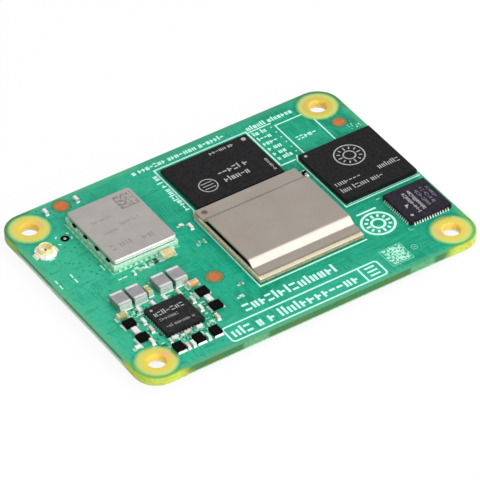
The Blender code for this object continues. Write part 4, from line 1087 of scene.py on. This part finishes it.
def make_leaded_chips():
    x, y, face = make_leaded_chip(
        "network_chip", "network_package", 14, 0.43, 0.26, 0.14, 0.38, "mould_net"
    )
    marks = Shape()
    marks.disc(x - 2.5, y - 2.4, 0.24, face, face + MARK, 0, 24)
    for across, along, length, height, seed, material in (
        (-0.8, 2.4, 5.1, 0.62, 121, 0), (0.1, 2.2, 4.7, 0.62, 123, 0), (1.1, 1.9, 4.0, 0.6, 125, 1),
        (2.0, 1.7, 3.8, 0.6, 127, 1), (2.8, 0.9, 2.8, 0.5, 129, 1),
    ):
        place = (x + across, y - along)
        tick_row(marks, *place, length, height, QUARTER, seed, 0.2, face, MARK, material=material)
    marks.prism([(x - 2.3, y - 0.9), (x - 1.6, y - 0.2), (x - 2.2, y - 0.1)], face, face + MARK)
    marks.piece("network_marks", ["mark", "faint"], "mould", smooth=0)

    x, y, face = make_leaded_chip("power_controller", "power_package", 10, 0.5, 0.12, mould="mould_power")
    marks = Shape()
    marks.disc(x - 2.3, y + 2.2, 0.2, face, face + MARK, 0, 24)
    for *row, seed, material in (
        (x - 2.5, y + 0.75, 4.6, 0.95, 131, 0), (x - 2.4, y - 0.35, 3.0, 0.62, 133, 1),
        (x - 2.3, y - 2.0, 4.4, 0.6, 135, 1),
    ):
        tick_row(marks, *row, 0.0, seed, 0.18, face, MARK, material=material)
    marks.piece("power_marks", ["mark", "soft_mark"], "mould", smooth=0)


# Wireless module


def rounded_outline(x, y, half_x, half_y, radius, steps=6):
    points = []
    for sx, sy, start in ((1, 1, 0.0), (-1, 1, 0.25), (-1, -1, 0.5), (1, -1, 0.75)):
        spot = (x + sx * (half_x - radius), y + sy * (half_y - radius))
        points += arc(*spot, radius, math.tau * start, math.tau * (start + 0.25), steps)
    return points


def make_wireless():
    low, high = corners("wireless_shield_can")
    x, y, half_x, half_y = centre(low, high)
    shape = Shape()
    # the can: a frame, and a lid whose skirt comes halfway down over it; a dark band at the frame's foot
    # and one just below the skirt are painted shade
    rim, sheet, bend = 0.16, 0.15, 5
    seam = low[2] + 0.5
    # inset, height and material of each loop: first the inside, then the outside from the foot upwards
    levels = [
        (rim, high[2] - sheet, 0), (rim, low[2], 0), (0.1, low[2], 0), (0.1, low[2] + 0.12, 1),
        (0.1, seam - 0.1, 0), (0.1, seam, 1), (0.0, seam + 0.01, 1),
    ]
    for step in range(bend + 1):
        turn = QUARTER * step / bend
        levels.append((rim * (1 - math.cos(turn)), high[2] - rim + rim * math.sin(turn), 0))
    loops = []
    for inset, z, _ in levels:
        outline = rounded_outline(x, y, half_x - inset, half_y - inset, 0.5 - 0.6 * inset)
        loops.append(shape.loop((*point, z) for point in outline))
    for first, second, (_, _, material) in zip(loops, loops[1:], levels[1:]):
        shape.skin(first, second, material)
    shape.face(loops[0][::-1])
    shape.face(loops[-1])
    shape.piece("shield_can", ["can", "seam"], "can", ["wireless_shield_can"])

    # openings at the foot of both side walls, filled with black ovals as painted shade
    slots = Shape()
    oval = [(0.48 * u, 0.22 * v) for u, v in circle(0.0, 0.0, 1.0, 20)]
    for place in (-4.65, -1.7, 1.25, 4.2):
        for side in (-1, 1):
            edge = x + side * half_x
            slots.tube([
                slots.loop((edge - side * depth, y + place + u, low[2] + 0.03 + v) for u, v in oval)
                for depth in (0.13, -0.11)
            ])
    slots.piece("can_slots", ["ferrite"], "can", smooth=0)

    code = Shape()
    code_square(code, -12.3, 10.8, 2.9, 2.9, 12, 12, high[2], MARK)
    code.piece("can_code", ["can_mark"], "can", smooth=0)
    faint = Shape()
    for *row, seed in (
        (-17.4, 10.2, 3.0, 0.7, 201), (-14.2, 8.0, 3.2, 0.7, 203), (-18.0, 4.0, 3.2, 1.35, 205),
        (-13.2, 3.6, 3.0, 1.35, 207), (-17.2, 7.4, 2.4, 0.6, 209),
    ):
        tick_row(faint, *row, seed=seed, low=high[2], thick=0.003)
    faint.piece("can_prints", ["can_faint"], "can", smooth=0)

    dress("carrier", "wireless_carrier")
    dress("mould", "wireless_chip")
    make_carrier_plating(x, y)


def make_carrier_plating(x, y):
    """Metal on the wireless module's notched edges, and the solder round its foot."""
    low, high = corners("wireless_carrier")
    middle, _, half, _ = centre(low, high)
    sides = [(side, middle + side * half) for side in (-1, 1)]
    plating = Shape()
    notches, pitch, radius = 10, 1.2, 0.205
    for index in range(notches):
        place = (index - (notches - 1) / 2) * pitch
        for side, edge in sides:
            start = side * QUARTER
            bow = arc(edge, y + place, radius, start, start + math.pi, 8)
            plating.stroke(bow, 0.03, low[2], high[2] - 0.15)
            plating.box(span(edge, side, -0.05, 0.26), around(y + place, 0.27), (low[2], low[2] + 0.03), 1)
    # solder joints along the front and back, which stop short of the corners
    for index in range(-5, 6):
        place = x + index * 0.85
        for side, edge in ((-1, low[1]), (1, high[1])):
            out = edge + side * 0.012
            plating.box(
                around(place, 0.2), span(edge, side, -0.06, 0.012), (low[2], low[2] + 0.62), 0, 0.03, 1
            )
            plating.wedge(place, out, low[2], low[2] + 0.3, 0.18, 0.2, (0, side), 1, 3)
    # bright spots at the top of the cut sides, between the can's openings
    for place in (-3.2, -0.25, 2.7):
        for side, edge in sides:
            z = (high[2] - 0.3, high[2] - 0.08)
            plating.box(span(edge, side, -0.05, 0.012), around(y + place, 0.17), z, 1, 0.03)
    for side, edge in sides:
        z = (low[2], low[2] + 0.018)
        plating.box(span(edge, side, -0.05, 0.2), (low[1] + 0.5, high[1] - 0.2), z, 2)
    plating.piece("carrier_plating", ["castellation", "mint", "foot"], "gold")


# Antenna connector


def make_antenna_connector():
    low, high = corners("antenna_connector_base")
    x, y, half_x, half_y = centre(low, high)
    base = Shape()
    cut = 0.5
    for inset, bottom, top in ((0.0, low[2] + 0.03, high[2] - 0.06), (0.07, high[2] - 0.06, high[2])):
        a, b = half_x - inset, half_y - inset
        corner_points = (
            (a, cut - b), (a, b - cut), (a - cut, b), (cut - a, b), (-a, b - cut), (-a, cut - b),
            (cut - a, -b), (a - cut, -b),
        )
        base.prism([(x + u, y + v) for u, v in corner_points], bottom, top)
    for sign in (-1, 1):
        z = (low[2] + 0.03, high[2] + 0.16)
        base.box(around(x, 0.8), span(y, sign, 0.98, 1.4), z, 0, 0.08, 3)
    base.piece("antenna_base", ["nylon"], "white_plastic", ["antenna_connector_base"])

    low, high = corners("antenna_connector_shell")
    shell = Shape()
    seat, top = low[2] + 0.15, high[2]
    profile = [
        (0.85, seat), (1.0, seat), (1.0, seat + 0.22), (0.985, seat + 0.34), (0.94, seat + 0.5),
        (0.935, seat + 0.62), (0.96, seat + 0.76), (0.995, seat + 0.86), (1.0, seat + 0.93),
        (0.99, top - 0.05), (0.96, top - 0.01), (0.925, top), (0.885, top - 0.012),
        (0.855, top - 0.05), (0.85, top - 0.12),
    ]
    shell.revolve(x, y, profile)
    for sign in (-1, 1):
        shell.box(span(x, sign, 0.9, 1.67), around(y, 0.5), (low[2] + 0.02, low[2] + 0.27), 0, 0.04)
        shell.wedge(x + sign * 1.67, y, low[2], low[2] + 0.16, 0.16, 0.46, (sign, 0), 1)
    shell.piece("antenna_ring", ["ring", "solder"], "gold", ["antenna_connector_shell"])

    low, high = corners("antenna_connector_pin")
    bottom, top = low[2], high[2]
    pin = Shape()
    profile = [
        (0.0001, bottom), (0.17, bottom), (0.15, top - 0.14), (0.11, top - 0.05), (0.05, top),
        (0.0001, top),
    ]
    pin.revolve(x, y, profile, 0, 24)
    pin.piece("antenna_contact", ["pin"], "gold", ["antenna_connector_pin"])
    pads = Shape()
    for sign in (-1, 1):
        pads.box(span(x, sign, 1.1, 1.86), around(y, 0.6), (TOP, TOP + 0.02))
    pads.box(around(x, 0.45), (y - 1.8, y - 1.3), (TOP, TOP + 0.03))
    pads.piece("antenna_pads", ["mint"], "gold", smooth=0)


# Parts with two terminals


def two_terminal(
    name, low, high, body, wrap, stands_for=(), low_ends=False, matrix=None, slot="ceramic", ends="tin"
):
    """A small part with a soldered terminal at each end. Its length is its longer side.

    wrap is how far a terminal reaches over the body. low_ends keeps both terminals below its top.
    """
    shape = Shape()
    size = [b - a for a, b in zip(low, high)]
    middle = [(a + b) / 2 for a, b in zip(low, high)]
    long_axis = 0 if size[0] >= size[1] else 1
    wide_axis = 1 - long_axis
    reach, half = size[long_axis] / 2, size[wide_axis] / 2
    foot, top = low[2], high[2]

    def place(along, across, z, material, bevel, segments=2):
        spans = [None, None]
        for axis, stretch in ((long_axis, along), (wide_axis, across)):
            spans[axis] = tuple(middle[axis] + value for value in stretch)
        shape.box(*spans, z, material, bevel, segments)

    round_off = min(0.07, 0.12 * size[2])
    narrow = 0.05 if ends == "plug" else 0.0
    if low_ends:
        place((-reach, reach), (-half, half), (foot + 0.04, top), 0, round_off, 3)
    elif narrow:
        place((0.06 - reach, reach - 0.06), (-half, half), (foot + 0.03, top - 0.025), 0, round_off)
    else:
        along = (-reach + 0.6 * wrap, reach - 0.6 * wrap)
        place(along, (-half + 0.02, half - 0.02), (foot + 0.03, top - 0.025), 0, 0.5 * round_off)
    overhang = 0.02 if low_ends else 0.0
    for sign in (-1, 1):
        along = span(0.0, sign, reach - wrap, reach + overhang)
        if low_ends:
            place(along, (-0.8 * half, 0.8 * half), (foot, foot + 0.45 * size[2]), 1, 0.02, 1)
        else:
            place(along, (narrow - half, half - narrow), (foot, top), 1, round_off)
        climb = (0.42 if low_ends else 0.55) * size[2]
        end = [0.0, 0.0]
        end[long_axis] = middle[long_axis] + sign * (reach + overhang)
        end[wide_axis] = middle[wide_axis]
        way = (sign, 0) if long_axis == 0 else (0, sign)
        shape.wedge(*end, foot, foot + climb, 0.2, 0.92 * half, way, 2)
        pad = span(0.0, sign, reach - 0.8 * wrap, reach + 0.26)
        place(pad, (-half - 0.04, half + 0.04), (foot, foot + 0.014), 2, 0.0)
    shape.piece(name, [body, ends, "solder"], slot, stands_for, matrix=matrix)


def block(x, y, z, length, width, height):
    """Lowest and highest corner of a box that stands round (x, y) at the height z."""
    return (x - length / 2, y - width / 2, z), (x + length / 2, y + width / 2, z + height)


def make_passives():
    bodies = {
        "capacitor_middle": "olive", "capacitor_left_end": "olive", "capacitor_right_end": "orange",
        "capacitor_wireless": "tan", "capacitor_processor": "ridge", "capacitor_edge_left": "blush",
        "capacitor_edge_right": "blush",
    }
    # the others take one of these by a plain sum over their names
    others = ("pale", "blush", "pale", "sand", "pale", "mint")
    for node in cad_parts:
        if not node.startswith(("capacitor", "choke", "power_inductor")):
            continue
        low, high = corners(node)
        name = f"{node}_soldered"
        if node.startswith("power_inductor"):
            two_terminal(name, low, high, "inductor", 0.55, [node], slot="inductor", ends="plug")
        elif node.startswith("choke"):
            two_terminal(name, low, high, "ferrite", 0.2, [node], low_ends=True, slot="ferrite")
        else:
            longest = max(high[0] - low[0], high[1] - low[1])
            body = bodies.get(node) or others[sum(map(ord, node)) % len(others)]
            two_terminal(name, low, high, body, 0.24 if longest < 1.2 else 0.36, [node])


def make_power_pads():
    """Open pads and short copper runs round the power controller, some tinned and some under mask, with
    dark patches of painted shade among them.
    """
    x, y, half, _ = centre(*corners("power_controller"))
    draw = random.Random(21)
    shape = Shape()
    for _ in range(150):
        along = draw.uniform(-half - 1.0, half + 1.0)
        away = half + draw.uniform(0.3, 1.9)
        side = draw.randrange(4)
        shift = ((along, away), (along, -away), (away, along), (-away, along))[side]
        length, width = draw.uniform(0.25, 0.7), draw.uniform(0.16, 0.3)
        if draw.random() < 0.5:
            length, width = width, length
        # the third kind is a dark patch of painted shade
        kind = draw.choice((0, 1, 1, 2, 2, 2))
        rise = (0.012, 0.008, 0.004)[kind]
        sides = (around(x + shift[0], length / 2), around(y + shift[1], width / 2))
        shape.box(*sides, (TOP, TOP + rise), kind)
    shape.piece("power_pads", ["mint", "foot", "painted_shade_patch"], "gold", smooth=0)


def make_extra_parts():
    """Small parts that the solids leave out."""
    tiny, small = (0.62, 0.32, 0.32), (1.0, 0.5, 0.4)
    for name, x, y, (length, width, height), turned, body, ends in (
        ("row_part_1", -16.97, 0.42, tiny, True, "mint", "mint"),
        ("row_part_2", -16.32, 0.96, tiny, False, "mint", "mint"),
        ("row_part_3", -15.5, 0.5, tiny, False, "mint", "mint"),
        ("row_part_4", -14.9, 0.9, tiny, True, "mint", "mint"),
        ("row_part_5", -14.2, 0.35, tiny, False, "mint", "mint"),
        ("dark_part_wireless", -13.35, 0.8, (1.1, 0.75, 0.45), False, "resin", "mint"),
        ("dark_part_processor", 14.05, 4.9, (1.0, 0.55, 0.4), True, "ferrite", "tin"),
        ("side_part_1", -5.35, 4.3, small, True, "pale", "tin"),
        ("side_part_2", -6.35, 5.3, tiny, False, "pale", "tin"),
        ("power_part_1", -13.75, -14.0, tiny, False, "mint", "mint"),
        ("power_part_2", -18.35, -14.15, tiny, False, "pale", "tin"),
        ("power_part_3", -20.3, -14.1, tiny, True, "pale", "tin"),
        ("front_part_1", -7.6, -11.9, tiny, False, "mint", "mint"),
        ("front_part_2", -6.2, -9.7, (0.5, 0.28, 0.28), False, "resin", "tin"),
    ):
        sides = (width, length) if turned else (length, width)
        wrap = 0.2 if length < 0.9 else 0.24
        two_terminal(name, *block(x, y, TOP, *sides, height), body, wrap, ends=ends)


def make_underside():
    """The connectors' finish, and the small parts that such modules carry below the processor."""
    dress("header", "mezzanine_header_front", "mezzanine_header_back")
    draw = random.Random(9)
    flip = Matrix.Translation((0.0, 0.0, UNDERSIDE)) @ Matrix.Rotation(math.pi, 4, "X")
    index = 0
    for y in (-5.6, -3.4, -1.2, 1.0, 3.2):
        for x in (-2.2, 0.0, 2.2, 4.4, 6.6, 8.8):
            if draw.random() < 0.3:
                continue
            index += 1
            length, width = (0.5, 1.0) if draw.random() < 0.5 else (1.0, 0.5)
            two_terminal(
                f"under_part_{index}", *block(x, y, 0.0, length, width, 0.5), "tan", 0.24, matrix=flip
            )


def main():
    make_camera()
    make_light()
    make_floor()
    dress("board", "circuit_board")
    make_traces()
    make_position_marks()
    make_screw_pads()
    make_printing()
    make_processor_side()
    make_chips()
    make_leaded_chips()
    make_wireless()
    make_antenna_connector()
    make_passives()
    make_power_pads()
    make_extra_parts()
    make_underside()
    bpy.context.scene.view_settings.view_transform = "Standard"


main()
